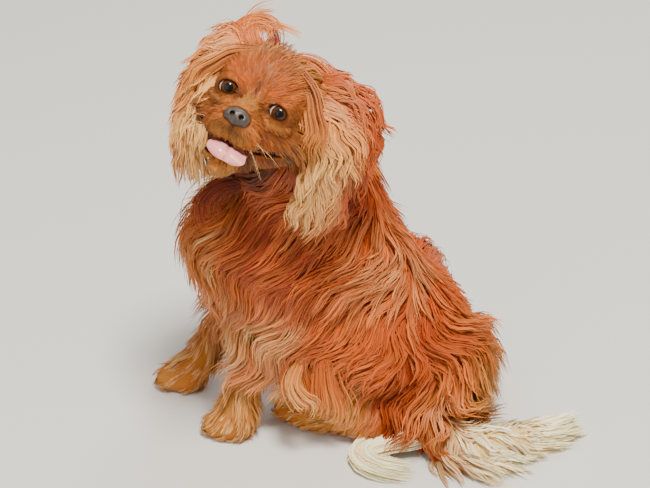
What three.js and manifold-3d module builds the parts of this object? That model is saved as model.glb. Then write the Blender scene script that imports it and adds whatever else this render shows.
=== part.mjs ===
// A cavalier king charles spaniel, life size, sitting and looking back over its left shoulder.
// Millimetres. +Z is up, -Y is the way the chest faces, +X is the dog's left.
// The flesh is a smooth union of round bones, parted into nodes with thin cuts, and the long
// coat is flat tapered locks that grow from it along the lie of the hair.
import * as THREE from "three";
import { mergeVertices } from "three/addons/utils/BufferGeometryUtils.js";
import Module from "manifold-3d";

const wasm = await Module();
wasm.setup();

const GAP = 0.4; // between two nodes that meet
const BODY_STEP = 24; // cell of the body's surface
// The cell of each cut between two nodes.
const CUT_STEPS = {
  neck: 36,
  hindleg_left: 28,
  hindleg_right: 28,
  foreleg_left: 21,
  foreleg_right: 21,
  tail: 16,
};
const FACE_STEP = 7; // cell of the head's surface in front
const SKULL_STEP = 11; // and behind
const SIDE_STEP = 9.8; // and across it
const BODY_BLEND = 9; // how softly the body's bones melt together
const HEAD_BLEND = 5;

const HIP_TURN = 0.7; // radians that the hips face away from -Y
const VIEW_TILT = 0.576; // how steeply the face looks up
const FACE_TURN = 0.155; // how far the face turns from +X towards -Y
const FACE_ROLL = 0.49; // how far the head leans to its left
const HEAD_PLACE = [26, -75, 386];
const PELVIS_PLACE = [-50, 52, 0];

const EYE_RADIUS = 11;
const EYE_SPREAD = 24.8; // from the middle to an eye's centre
const EYE_DEPTH = 31; // in front of the head's centre
const LID_RADIUS = 9.4;
const LID_THICK = 2.3;

const UP = new THREE.Vector3(0, 0, 1);

const vec = (p) => (p.isVector3 ? p : new THREE.Vector3(...p));

function hipFrame() {
  const left = new THREE.Vector3(Math.cos(HIP_TURN), -Math.sin(HIP_TURN), 0);
  const front = new THREE.Vector3().crossVectors(left, UP);
  return { origin: vec(PELVIS_PLACE), left, front, up: UP };
}

function faceFrame() {
  const back = new THREE.Vector3(Math.cos(VIEW_TILT), 0, Math.sin(VIEW_TILT));
  const side = new THREE.Vector3(0, 1, 0);
  const top = new THREE.Vector3(-Math.sin(VIEW_TILT), 0, Math.cos(VIEW_TILT));
  const front = back.clone().multiplyScalar(Math.cos(FACE_TURN));
  front.addScaledVector(side, -Math.sin(FACE_TURN));
  const up = side.clone().multiplyScalar(Math.sin(FACE_ROLL));
  up.addScaledVector(top, Math.cos(FACE_ROLL));
  const left = new THREE.Vector3().crossVectors(up, front).normalize();
  up.crossVectors(front, left).normalize();
  return { origin: vec(HEAD_PLACE), left, front, up };
}

const HIPS = hipFrame();
const HEAD = faceFrame();

// A point or a direction from its distances to the front, to the left and up in a frame.
function along(frame, f, l, u) {
  const d = frame.front.clone().multiplyScalar(f);
  return d.addScaledVector(frame.left, l).addScaledVector(frame.up, u);
}
const inHead = (f, l, u) => along(HEAD, f, l, u).add(HEAD.origin);
const inHips = (f, l, u) => along(HIPS, f, l, u).add(HIPS.origin);

// A bone is a ball that rolls from a to b and changes its radius on the way.
const bone = (a, b, ra, rb) => ({ a: vec(a), b: vec(b), ra, rb });
const ball = (a, r) => bone(a, a, r, r);

function boneDistance({ a, b, ra, rb }, p) {
  const line = b.clone().sub(a);
  const from = p.clone().sub(a);
  const long = line.lengthSq();
  const t = long > 0 ? Math.min(1, Math.max(0, from.dot(line) / long)) : 0;
  return from.addScaledVector(line, -t).length() - (ra + (rb - ra) * t);
}

// The smooth union of bones as a field that is negative inside.
function melt(bones, blend) {
  return (p) => {
    let sum = 0;
    for (const b of bones) sum += Math.exp(-Math.max(-200, Math.min(400, boneDistance(b, p))) / blend);
    return -blend * Math.log(sum);
  };
}

// The outward direction of a field at a point.
function slope(field, p) {
  const e = 0.6;
  const g = ["x", "y", "z"].map((axis) => {
    const ahead = p.clone();
    const behind = p.clone();
    ahead[axis] += e;
    behind[axis] -= e;
    return field(ahead) - field(behind);
  });
  return new THREE.Vector3(...g).normalize();
}

// The bones, out to half the depth of the coat.
const trunk = [
  bone([-48, 74, 60], [-57, 36, 104], 60, 58),
  bone([-57, 36, 104], [-64, -2, 158], 58, 62),
  bone([-64, -2, 158], [-60, -44, 204], 62, 68),
  bone([-60, -44, 204], [-56, -92, 196], 66, 50),
  bone([-56, -96, 190], [-56, -98, 168], 44, 36),
];
const nape = [
  bone([-58, -22, 238], [-50, -46, 280], 52, 47),
  bone([-50, -46, 280], [-8, -66, 342], 46, 42),
];

function foreleg(shoulder, elbow, wrist, paw) {
  const toes = [paw[0] + 2, paw[1] - 20, 12];
  return [
    bone(shoulder, elbow, 33, 22),
    bone(elbow, wrist, 21, 14),
    bone(wrist, paw, 14, 15),
    bone(paw, toes, 15, 13),
  ];
}

function hindleg(side) {
  return [
    bone(inHips(6, side * 36, 84), inHips(58, side * 80, 100), 50, 33),
    bone(inHips(58, side * 80, 96), inHips(-12, side * 58, 26), 30, 17),
    bone(inHips(-12, side * 58, 18), inHips(44, side * 76, 14), 16, 14),
    bone(inHips(44, side * 76, 14), inHips(72, side * 86, 12), 15, 13),
  ];
}

const dock = [
  bone([-18, 82, 40], [22, 92, 18], 16, 14),
  bone([22, 92, 18], [38, 122, 15], 14, 12),
  bone([38, 122, 15], [26, 160, 14], 12, 10),
  bone([26, 160, 14], [10, 186, 13], 10, 6),
];

const skull = [
  bone(inHead(-22, 0, 8), inHead(2, 0, 10), 40, 41),
  bone(inHead(8, -14, 16), inHead(8, 14, 16), 28, 28),
  ball(inHead(22, 21, 11), 14),
  ball(inHead(22, -21, 11), 14),
  ball(inHead(6, 27, -22), 24),
  ball(inHead(6, -27, -22), 24),
  bone(inHead(28, 0, -17), inHead(56, 0, -21), 25, 15),
  ball(inHead(54, 12, -28), 13.5),
  ball(inHead(54, -12, -28), 13.5),
  bone(inHead(28, 0, -4), inHead(60, 0, -11), 11, 8),
  bone(inHead(-26, 0, -28), inHead(-6, 0, -34), 34, 30),
];
const jaw = [
  bone(inHead(4, 0, -44), inHead(44, 1, -61), 20, 12),
];

const limbs = {
  foreleg_left: foreleg([-18, -66, 200], [-14, -66, 124], [-10, -101, 40], [-6, -106, 13]),
  foreleg_right: foreleg([-100, -68, 200], [-96, -94, 124], [-88, -138, 42], [-84, -156, 13]),
  hindleg_left: hindleg(1),
  hindleg_right: hindleg(-1),
  tail: dock,
  neck: nape,
};
const allBones = [...trunk, ...Object.values(limbs).flat()];
const bodyField = melt(allBones, BODY_BLEND);
const headField = melt([...skull, ...jaw], HEAD_BLEND);

// The grid lines of a box round a set of bones, in a frame's own axes.
function gridOf(bones, frame, room, step) {
  const axes = [frame.left, frame.front, frame.up];
  return axes.map((axis, m) => {
    const ends = bones.flatMap(({ a, b, ra, rb }) => [
      [a.clone().sub(frame.origin).dot(axis), ra],
      [b.clone().sub(frame.origin).dot(axis), rb],
    ]);
    const low = Math.min(...ends.map(([at, r]) => at - r)) - room;
    const high = Math.max(...ends.map(([at, r]) => at + r)) + room;
    const lines = [];
    for (let at = low; at < high + step(high, m); at += step(at, m)) lines.push(at);
    return lines;
  });
}

const ROW = { origin: vec([0, 0, 0]), left: vec([1, 0, 0]), front: vec([0, 1, 0]), up: UP };

// Whether the marked corners of a cell hang together along its edges.
function joined(mask) {
  let found = mask & -mask;
  for (let round = 0; round < 8; round++) {
    for (let c = 0; c < 8; c++) {
      if (!((found >> c) & 1)) continue;
      for (const step of [1, 2, 4]) found |= (1 << (c ^ step)) & mask;
    }
  }
  return found === mask;
}

// The surface of a field over a grid, with one point in each cell that the surface crosses.
function surfaceOf(field, grid, frame) {
  const n = grid.map((lines) => lines.length);
  const stride = [n[1] * n[2], n[2], 1];
  const at = (i, j, k) => {
    const p = frame.origin.clone().addScaledVector(frame.left, i);
    return p.addScaledVector(frame.front, j).addScaledVector(frame.up, k);
  };
  const value = [];
  for (const i of grid[0])
    for (const j of grid[1])
      for (const k of grid[2]) value.push(field(at(i, j, k)));
  const corners = [0, 1, 2, 3, 4, 5, 6, 7].map((c) => [c & 1, (c >> 1) & 1, (c >> 2) & 1]);
  const offset = corners.map((c) => c[0] * stride[0] + c[1] * stride[1] + c[2]);
  const cells = [];
  for (let i = 0; i < n[0] - 1; i++)
    for (let j = 0; j < n[1] - 1; j++)
      for (let k = 0; k < n[2] - 1; k++) cells.push([i, j, k, i * stride[0] + j * stride[1] + k]);

  // A cell whose corners don't hang together would pinch the surface, so one more is filled.
  for (let open = true; open; ) {
    open = false;
    for (const [, , , here] of cells) {
      const mask = offset.reduce((m, o, c) => (value[here + o] < 0 ? m | (1 << c) : m), 0);
      if (joined(mask) && joined(255 - mask)) continue;
      const empty = offset.filter((o) => value[here + o] >= 0);
      const nearest = empty.reduce((a, b) => (value[here + a] < value[here + b] ? a : b));
      value[here + nearest] = -0.05;
      open = true;
    }
  }

  const pointOf = new Map();
  const points = [];
  for (const [i, j, k, here] of cells) {
    const sum = [0, 0, 0];
    let count = 0;
    for (let c = 0; c < 8; c++) {
      for (const [axis, bit] of [[0, 1], [1, 2], [2, 4]]) {
        if (c & bit) continue;
        const a = value[here + offset[c]];
        const b = value[here + offset[c | bit]];
        if (a < 0 === b < 0) continue;
        for (let m = 0; m < 3; m++) sum[m] += corners[c][m];
        sum[axis] += a / (a - b);
        count++;
      }
    }
    if (!count) continue;
    pointOf.set(here, points.length);
    const spot = [i, j, k].map((q, m) => grid[m][q] + (grid[m][q + 1] - grid[m][q]) * (sum[m] / count));
    points.push(settle(at(...spot), field, grid[0][i + 1] - grid[0][i]));
  }

  const faces = [];
  for (const [i, j, k, here] of cells) {
    if (!i || !j || !k) continue;
    for (let axis = 0; axis < 3; axis++) {
      const inside = value[here] < 0;
      if (inside === value[here + stride[axis]] < 0) continue;
      const u = stride[(axis + 1) % 3];
      const v = stride[(axis + 2) % 3];
      const q = [here, here - u, here - u - v, here - v].map((cell) => pointOf.get(cell));
      if (!inside) q.reverse();
      faces.push(q[0], q[1], q[2], q[0], q[2], q[3]);
    }
  }
  const handed = new THREE.Vector3().crossVectors(frame.left, frame.front).dot(frame.up);
  if (handed < 0) faces.reverse();
  return pointsToGeometry(points, faces);
}

// A point moved onto the surface of a field, a part of a cell at most.
function settle(p, field, cell) {
  for (let round = 0; round < 2; round++) {
    const move = Math.max(-0.3 * cell, Math.min(0.3 * cell, field(p)));
    p.addScaledVector(slope(field, p), -move);
  }
  return p;
}

function pointsToGeometry(points, faces) {
  const geometry = new THREE.BufferGeometry();
  const numbers = points.flatMap((p) => p.toArray());
  geometry.setAttribute("position", new THREE.Float32BufferAttribute(numbers, 3));
  geometry.setIndex(faces);
  return geometry;
}

// A copy of a geometry with its points moved out along the slope of a field.
function swell(geometry, field, far) {
  const grown = geometry.clone();
  const at = grown.attributes.position;
  for (let i = 0; i < at.count; i++) {
    const p = new THREE.Vector3().fromBufferAttribute(at, i);
    p.addScaledVector(slope(field, p), far * 1.4);
    at.setXYZ(i, p.x, p.y, p.z);
  }
  return grown;
}

// A closed geometry as a solid.
function solid(geometry) {
  const bare = new THREE.BufferGeometry();
  bare.setAttribute("position", geometry.attributes.position);
  bare.setIndex(geometry.index);
  const merged = mergeVertices(bare, 1e-4);
  const mesh = {
    numProp: 3,
    vertProperties: new Float32Array(merged.attributes.position.array),
    triVerts: new Uint32Array(merged.index.array),
  };
  return new wasm.Manifold(new wasm.Mesh(mesh));
}

function geometryOf(body) {
  const mesh = body.getMesh();
  const geometry = new THREE.BufferGeometry();
  geometry.setAttribute("position", new THREE.BufferAttribute(new Float32Array(mesh.vertProperties), 3));
  geometry.setIndex(new THREE.BufferAttribute(new Uint32Array(mesh.triVerts), 1));
  return geometry;
}

const largest = (body) => body.decompose().reduce((best, b) => (b.volume() > best.volume() ? b : best));
const union = (bodies) => wasm.Manifold.union(bodies);

// An egg: a ball stretched to three half sizes along a frame's front, left and up.
function egg(frame, center, half, round = 12) {
  const geometry = new THREE.SphereGeometry(1, round, Math.round(round * 0.7));
  const place = new THREE.Matrix4().makeBasis(frame.front, frame.left, frame.up);
  place.setPosition(center).scale(vec(half));
  geometry.applyMatrix4(place);
  return solid(geometry);
}

// A flat tapered strip along a path. Its section has two edges and some points across. The
// under side is flat, or a share of the upper side's bulge: -1 for a pad, over 0 for a cup.
function strip(path, width, thick, faceAt, across = 3, under = null) {
  const rings = path.slice(0, -1).map((p, i) => {
    const t = i / (path.length - 1);
    const way = path[i + 1].clone().sub(path[Math.max(0, i - 1)]).normalize();
    const side = new THREE.Vector3().crossVectors(faceAt(p, t), way).normalize();
    const out = new THREE.Vector3().crossVectors(way, side).normalize();
    const spot = (s, high) => {
      const q = p.clone().addScaledVector(side, s * width(t));
      return q.addScaledVector(out, high * thick(t));
    };
    const ring = [];
    for (let k = 0; k < across; k++) {
      const s = k / (across - 1) - 0.5;
      ring.push(spot(s, 1 - 4 * s * s));
    }
    for (let k = across - 2; k > 0 && under !== null; k--) {
      const s = k / (across - 1) - 0.5;
      ring.push(spot(s, under * (1 - 4 * s * s)));
    }
    return ring;
  });
  const sides = rings[0].length;
  const faces = [];
  for (let i = 0; i < rings.length - 1; i++) {
    for (let k = 0; k < sides; k++) {
      const a = i * sides + k;
      const b = i * sides + ((k + 1) % sides);
      faces.push(a, a + sides, b, b, a + sides, b + sides);
    }
  }
  const tip = rings.length * sides;
  const last = tip - sides;
  for (let k = 1; k < sides - 1; k++) faces.push(0, k, k + 1);
  for (let k = 0; k < sides; k++) faces.push(last + k, tip, last + ((k + 1) % sides));
  return pointsToGeometry([...rings.flat(), path.at(-1)], faces);
}

// Seeded draws.
let seed = 20;
function draw(low = 0, high = 1) {
  seed = (seed * 1664525 + 1013904223) % 4294967296;
  return low + (high - low) * (seed / 4294967296);
}

// A lock and the room it needs, from its path.
const LOCK_TAPER = (t) => 0.55 + 1.35 * t - 1.75 * t * t;
function lockOn(path, width, thick, faceAt) {
  const make = (room) => {
    const wide = (t) => width * LOCK_TAPER(t) + room * 2;
    const deep = (t) => thick * (1 - 0.5 * t) + room * 2;
    const down = (p, t) => faceAt(p, t).clone().multiplyScalar(-room);
    const shifted = path.map((p, i) => p.clone().add(down(p, i / (path.length - 1))));
    if (room) {
      const end = shifted.at(-1);
      const onward = end.clone().sub(shifted.at(-2)).normalize();
      shifted.push(end.clone().addScaledVector(onward, 3 * room));
    }
    return solid(strip(shifted, wide, deep, faceAt));
  };
  return { body: make(0), room: () => make(GAP) };
}

// Walks over the coat from a root, at set heights above the core, the way the hair lies.
function walk(root, length, heights, field, way) {
  const stride = length / (heights.length - 1);
  const p = root.clone();
  return heights.map((height) => {
    const out = slope(field, p);
    p.addScaledVector(out, height - field(p));
    const spot = p.clone();
    const d = way(p, out).clone();
    d.addScaledVector(out, -d.dot(out)).normalize();
    p.addScaledVector(d, stride);
    return spot;
  });
}

// Part the body.
const bodySurface = () => surfaceOf(bodyField, gridOf(allBones, ROW, 30, () => BODY_STEP), ROW);
let body = solid(bodySurface());
let bodyRoom = solid(swell(bodySurface(), bodyField, GAP));
const floor = solid(new THREE.BoxGeometry(900, 900, 100).translate(0, 0, -50));
const nodes = new Map();
const rooms = new Map();
for (const [name, bones] of Object.entries(limbs)) {
  const field = melt(bones, BODY_BLEND);
  const cut = (p) => field(p) - 4;
  const cutter = surfaceOf(cut, gridOf(bones, ROW, 60, () => CUT_STEPS[name]), ROW);
  const cutterRoom = swell(cutter, field, GAP);
  nodes.set(name, largest(body.intersect(solid(cutter))));
  rooms.set(name, largest(bodyRoom.intersect(solid(cutterRoom))));
  body = body.subtract(solid(cutterRoom));
  bodyRoom = bodyRoom.subtract(solid(cutter));
}
nodes.set("torso", largest(body));
rooms.set("torso", largest(bodyRoom));

// The head, with its lids, lips, nose and open mouth.
const headStep = (at, axis) => (axis === 1 ? (at > 0 ? FACE_STEP : SKULL_STEP) : SIDE_STEP);
const headSurface = surfaceOf(headField, gridOf([...skull, ...jaw], HEAD, 14, headStep), HEAD);
const headRoom = solid(swell(headSurface, headField, GAP));
let head = solid(headSurface);
const eyeSpots = { left: inHead(EYE_DEPTH, EYE_SPREAD, 1), right: inHead(EYE_DEPTH, -EYE_SPREAD, 1) };
for (const [side, spot] of Object.entries(eyeSpots)) {
  const toSide = side === "left" ? 0.25 : -0.25;
  const gaze = along(HEAD, 1, toSide, 0).normalize();
  const lid = new THREE.TorusGeometry(LID_RADIUS, LID_THICK, 5, 12);
  lid.applyQuaternion(new THREE.Quaternion().setFromUnitVectors(UP, gaze));
  lid.translate(...spot.clone().addScaledVector(gaze, 6).toArray());
  head = head.add(solid(lid));
}
for (const [side, spot] of Object.entries(eyeSpots)) {
  head = head.subtract(egg(HEAD, spot, [EYE_RADIUS + GAP, EYE_RADIUS + GAP, EYE_RADIUS + GAP]));
  nodes.set("eye_" + side, egg(HEAD, spot, [EYE_RADIUS, EYE_RADIUS, EYE_RADIUS]));
}
const mouthPath = [[2, 0, -39], [24, 0, -42], [52, 0, -49], [90, 0, -58]].map((p) => inHead(...p));
head = head.subtract(solid(strip(mouthPath, () => 46, (t) => 2 + 8 * t, () => HEAD.up, 3, -1)));
const tongueLine = [[12, 0, -45], [30, 1, -47], [46, 2, -52], [58, 3, -57], [68, 4, -64]];
const tonguePath = tongueLine.map((p) => inHead(...p));
const tongueOf = (room) => {
  const wide = (t) => 25 - 6 * t + room;
  const deep = () => 2.6 + room;
  return solid(strip(tonguePath, wide, deep, () => HEAD.up, 5, -1));
};
head = head.subtract(tongueOf(GAP * 3));
nodes.set("tongue", tongueOf(0));
const nosePlace = inHead(68, 0, -13);
const noseHalf = [8, 11.5, 8.5];
head = head.subtract(egg(HEAD, nosePlace, noseHalf.map((h) => h + GAP * 2)));
let nose = egg(HEAD, nosePlace, noseHalf, 12);
for (const side of [1, -1]) {
  nose = nose.subtract(egg(HEAD, inHead(75, side * 5.4, -13.5), [4, 2.2, 2], 6));
}
nodes.set("nose", nose);
nodes.set("head", largest(head));


for (const name of ["neck", "torso"]) nodes.set(name, largest(nodes.get(name).subtract(headRoom)));
rooms.set("head", headRoom);

// The way the hair lies on the body: down each bone, backwards on the trunk, and down.
const boneWay = (b) => b.b.clone().sub(b.a).normalize();
const combed = [
  ...trunk.map((b) => [b, boneWay(b).multiplyScalar(-0.35).add(vec([0, -0.3, -0.9]))]),
  ...nape.map((b) => [b, boneWay(b).negate().add(vec([0, -0.2, -0.6]))]),
];
for (const [name, bones] of Object.entries(limbs)) {
  if (name !== "neck") combed.push(...bones.map((b) => [b, boneWay(b)]));
}
function lie(p, out) {
  const way = new THREE.Vector3();
  for (const [b, comb] of combed) {
    way.addScaledVector(comb, Math.exp(-Math.max(0, boneDistance(b, p)) / 10));
  }
  const onBack = Math.max(0, out.y) * (p.z > 90 ? 1 : 0.3);
  return way.normalize().add(vec([0, 0.9 * onBack, 0])).normalize();
}
function nodeAt(p) {
  for (const [name, bones] of Object.entries(limbs)) if (melt(bones, BODY_BLEND)(p) < 4) return name;
  return "torso";
}

// How the coat grows at a place on the body: the lock's length, width and rise, or nothing.
function coatAt(p, out, name) {
  const front = out.y < -0.35 && p.z > 120;
  const breech = out.y > 0.2 && p.z < 115 && p.z > 25;
  if (name.startsWith("hindleg") && p.z < 40) return null;
  if (name.startsWith("foreleg") && p.z < 60) return null;
  if (name.startsWith("foreleg")) return { long: 52, wide: 15, rise: 9, apart: 36 };
  if (name === "tail") return null;
  if (front) return { long: 100, wide: 36, rise: 22, apart: 36 };
  if (breech) return { long: 66, wide: 34, rise: 25, apart: 33 };
  if (name === "neck") return { long: 70, wide: 38, rise: 10, apart: 38 };
  return { long: 84, wide: 44, rise: 12, apart: 45 };
}

const locks = new Map([...nodes.keys()].map((name) => [name, []]));
const surface = bodySurface().attributes.position;
const taken = [];
for (let i = 0; i < surface.count; i++) {
  const p = new THREE.Vector3().fromBufferAttribute(surface, (i * 769) % surface.count);
  const out = slope(bodyField, p);
  const name = nodeAt(p);
  const coat = coatAt(p, out, name);
  if (!coat || p.z < 22 || headField(p) < 10) continue;
  if (taken.some((q) => q.distanceTo(p) < coat.apart)) continue;
  taken.push(p);
  const long = coat.long * draw(0.85, 1.15);
  const sway = draw(-0.35, 0.35);
  const way = (q, o) => lie(q, o).applyAxisAngle(o, sway * Math.sin(q.distanceTo(p) / 16));
  const heights = [-7, 0.22 * coat.rise, 0.6 * coat.rise, 0.85 * coat.rise, coat.rise * draw(0.85, 1.1)];
  const path = walk(p, long, heights, bodyField, way);
  for (const q of path) q.z = Math.max(q.z, 4);
  const face = (q) => slope(bodyField, q);
  locks.get(name).push(lockOn(path, coat.wide * draw(0.9, 1.1), 5, face));
}

// A path that starts one way and is pulled another way as it goes.
function trail(root, way, pull, long, steps = 5) {
  const p = root.clone();
  const heading = way.clone().normalize();
  const path = [p.clone()];
  for (let i = 0; i < steps; i++) {
    p.addScaledVector(heading, long / steps);
    path.push(p.clone());
    heading.addScaledVector(pull, 1 / steps).normalize();
  }
  return path;
}

// The tail's plume lies on the floor, to both sides and past the tip.
const dockPoint = (t) => {
  const b = dock[Math.min(3, Math.floor(t * 4))];
  return b.a.clone().lerp(b.b, t * 4 - Math.min(3, Math.floor(t * 4)));
};
for (let i = 0; i < 16; i++) {
  const t = 0.28 + 0.72 * (i / 15);
  const side = i % 2 ? 1 : -1;
  const tangent = dockPoint(Math.min(1, t + 0.04)).sub(dockPoint(Math.max(0, t - 0.04))).normalize();
  const aside = new THREE.Vector3().crossVectors(UP, tangent).multiplyScalar(side);
  const way = tangent.clone().addScaledVector(aside, 0.55 * (1.2 - t)).setZ(0);
  const root = dockPoint(t).addScaledVector(aside, 3).setZ(draw(9, 15));
  const path = trail(root, way, tangent.clone().multiplyScalar(0.8), draw(46, 66));
  path.forEach((q, k) => q.setZ(Math.max(5, q.z - k * 0.9)));
  locks.get("tail").push(lockOn(path, draw(25, 31), 6, () => UP));
}
// One swirl of the plume turns back on itself.
for (let i = 0; i < 3; i++) {
  const out = 8 * (i - 1);
  const bend = [
    [18, 84, 22],
    [20 - out, 60, 15],
    [23 - out, 36, 13],
    [33, 18 - out, 12],
    [48 + out, 22 - out, 10],
    [57 + out, 42, 8],
    [60 + out, 68, 6],
  ];
  const path = bend.map(vec);
  locks.get("tail").push(lockOn(path, 19, 5, () => UP));
}

// Feathers behind the forelegs and tufts on the toes.
for (const name of ["foreleg_left", "foreleg_right"]) {
  const [, upper, lower, paw] = limbs[name];
  for (let i = 0; i < 6; i++) {
    const root = upper.a.clone().lerp(upper.b, 0.25 + 0.14 * i).add(vec([0, 5, 0]));
    const path = trail(root, vec([draw(-0.2, 0.2), 0.75, -0.9]), vec([0, -0.5, -1.1]), 46, 4);
    for (const q of path) q.z = Math.max(q.z, 4);
    locks.get(name).push(lockOn(path, 12, 5, () => vec([i % 2 ? 1 : -1, 0, 0])));
  }
  for (const side of [-1, 0, 1]) {
    const root = paw.b.clone().add(vec([side * 7, 2, 0]));
    const path = trail(root, vec([side * 0.4, -1, -0.35]), vec([0, -0.4, 0]), 30, 3);
    for (const q of path) q.z = Math.max(q.z, 4);
    locks.get(name).push(lockOn(path, 12, 5, () => UP));
  }
}
for (const name of ["hindleg_left", "hindleg_right"]) {
  const toes = limbs[name][3];
  for (const side of [-1, 0, 1]) {
    const root = toes.b.clone().addScaledVector(HIPS.left, side * 7);
    const way = along(HIPS, 1, side * 0.4, -0.15);
    const path = trail(root, way, vec([0, 0, -0.2]), 32, 3);
    for (const q of path) q.z = Math.max(q.z, 4);
    locks.get(name).push(lockOn(path, 12, 5, () => UP));
  }
}

// Each ear is a cupped flap that hangs from the skull, with long wavy locks past its edge.
const FALLS = {
  ear_left: [
    [-8, 30, 40],
    [-6, 50, 38],
    [-10, 68, 27],
    [-18, 80, 8],
    [-28, 86, -16],
    [-38, 88, -40],
    [-48, 88, -62],
  ],
  ear_right: [
    [-6, 28, 42],
    [0, 44, 36],
    [4, 54, 18],
    [4, 57, -8],
    [0, 54, -34],
    [-6, 46, -58],
    [-12, 38, -78],
  ],
};
for (const [name, fall] of Object.entries(FALLS)) {
  const side = name === "ear_left" ? 1 : -1;
  const path = fall.map(([f, l, u]) => inHead(f, side * l, u));
  const out = along(HEAD, 0.62, side * 0.78, 0.1).normalize();
  const wide = (t) => 26 + 130 * t * (1 - t) + 14 * t;
  nodes.set(name, solid(strip(path, wide, () => 13, () => out, 5, 0.45)));
  const across = new THREE.Vector3().crossVectors(out, path[4].clone().sub(path[3])).normalize();
  const hair = [];
  for (let i = 0; i < 10; i++) {
    const spread = ((i * 3) % 10) / 9 - 0.5;
    const start = 2 + (i % 4);
    const root = path[start].clone().addScaledVector(across, spread * wide(start / 6) * 0.86);
    root.addScaledVector(out, 4 * (1 - 4 * spread * spread));
    const down = path[start + 1].clone().sub(path[start]).normalize();
    const way = down.addScaledVector(across, spread * 0.9).addScaledVector(out, 0.12);
    const line = trail(root, way, vec([0, 0, -0.8]), draw(46, 66), 5);
    line.forEach((q, k) => q.addScaledVector(across, 4.5 * Math.sin(k * 1.5 + i)));
    hair.push(lockOn(line, draw(21, 27), 4.5, () => out));
  }
  locks.set(name, hair);
  rooms.set(name, solid(strip(path, (t) => wide(t) + 1, () => 13.6, () => out, 5, 0.4)));
}
// A loose tuft on the crown.
for (let i = 0; i < 3; i++) {
  const root = inHead(i * 4, 4 - i * 9, 43);
  const start = along(HEAD, -0.2, 0.5 - i * 0.35, 1);
  const pull = along(HEAD, 0.2, -1.6 + i * 0.4, -2.2);
  const path = trail(root, start, pull, 40, 5);
  locks.get("head").push(lockOn(path, 14, 4, () => HEAD.front));
}

// Fuse each node's locks to it, cut clear of the others.
const hindquarters = ["hindleg_left", "hindleg_right", "tail"];
const foreparts = ["foreleg_left", "foreleg_right", "head", "ear_left", "ear_right"];
const order = ["torso", "neck", ...hindquarters, ...foreparts];
const lockRooms = new Map();
for (const name of order) {
  let hair = union(locks.get(name).map((lock) => lock.body));
  let core = nodes.get(name);
  for (const other of order) {
    if (other === name) continue;
    hair = hair.subtract(rooms.get(other));
    if (name.startsWith("ear") && !other.startsWith("ear")) core = core.subtract(rooms.get(other));
    if (lockRooms.has(other)) hair = hair.subtract(lockRooms.get(other));
    if (lockRooms.has(other) && name.startsWith("ear")) core = core.subtract(lockRooms.get(other));
  }
  if (name !== "head") {
    for (const part of ["eye_left", "eye_right", "nose", "tongue"]) {
      hair = hair.subtract(nodes.get(part));
    }
  }
  const made = largest(core.add(hair).subtract(floor));
  nodes.set(name, made);
  lockRooms.set(name, union(locks.get(name).map((lock) => lock.room())));
}

// Where two finished nodes still touch, the later one gives way.
const names = [...nodes.keys()];
names.forEach((name, i) => {
  for (const other of names.slice(0, i)) {
    const shared = nodes.get(name).intersect(nodes.get(other)).volume();
    if (shared > 0.001) nodes.set(name, largest(nodes.get(name).subtract(nodes.get(other))));
  }
});

const CHESTNUT = 0xa8552a;
const colours = {
  eye_left: 0x180c06,
  eye_right: 0x180c06,
  tongue: 0xd07078,
  nose: 0x2a211e,
  tail: 0xe0b880,
};
const dog = new THREE.Group();
for (const [name, made] of nodes) {
  const colour = colours[name] ?? CHESTNUT;
  const material = new THREE.MeshStandardMaterial({ color: colour, roughness: 0.7, metalness: 0 });
  const mesh = new THREE.Mesh(geometryOf(made), material);
  mesh.name = name;
  dog.add(mesh);
}
// The row's origin is under the middle of the box round it all.
const box = new THREE.Box3().setFromObject(dog);
const middle = box.getCenter(new THREE.Vector3());
for (const mesh of dog.children) mesh.geometry.translate(-middle.x, -middle.y, -box.min.z);
export default dog;
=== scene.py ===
"""A cavalier king charles spaniel, sitting and looking back over its left shoulder."""

import math

import bpy
import numpy as np
from mathutils import Matrix, Vector


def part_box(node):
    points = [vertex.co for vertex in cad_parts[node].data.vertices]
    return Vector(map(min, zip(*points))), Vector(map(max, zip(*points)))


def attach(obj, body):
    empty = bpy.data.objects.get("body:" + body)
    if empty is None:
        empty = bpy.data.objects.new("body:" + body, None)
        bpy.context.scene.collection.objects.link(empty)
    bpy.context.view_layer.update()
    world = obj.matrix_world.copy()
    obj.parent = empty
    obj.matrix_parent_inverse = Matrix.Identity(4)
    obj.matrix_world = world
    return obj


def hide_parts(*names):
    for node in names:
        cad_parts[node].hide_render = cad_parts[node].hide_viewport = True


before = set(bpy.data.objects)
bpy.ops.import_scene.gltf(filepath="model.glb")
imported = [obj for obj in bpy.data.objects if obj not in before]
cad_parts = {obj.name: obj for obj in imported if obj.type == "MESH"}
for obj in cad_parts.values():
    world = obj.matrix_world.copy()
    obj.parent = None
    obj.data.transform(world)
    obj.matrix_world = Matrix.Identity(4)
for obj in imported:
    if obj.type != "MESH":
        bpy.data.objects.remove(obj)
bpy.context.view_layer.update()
rng = np.random.default_rng(7)

MM = 0.001

# The camera, in the dog's own frame.
VIEW_PITCH = math.radians(33.0)
FOCAL_PIXELS = 2317.0
IMAGE_WIDTH = 650
SENSOR = 36.0
CAMERA_PLACE = np.array([1784.9, -19.4, 1382.6]) * MM

# The driving sizes that the solids have too, in millimetres and radians.
HIP_TURN = 0.7
VIEW_TILT = 0.576
FACE_TURN = 0.155
FACE_ROLL = 0.49
HEAD_PLACE = (26, -75, 386)
PELVIS_PLACE = (-50, 52, 0)
EYE_RADIUS = 11.0
EYE_SPREAD = 24.8
EYE_DEPTH = 31.0
BODY_BLEND = 9.0
HEAD_BLEND = 5.0

# The skin lies inside the solids by this much, and its mesh has cells of these sizes.
SKIN_INSET = 7.0
FOOT_INSET = 3.0
FACE_INSET = 2.2
BODY_CELL = 4.2
FACE_CELL = 1.25

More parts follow.
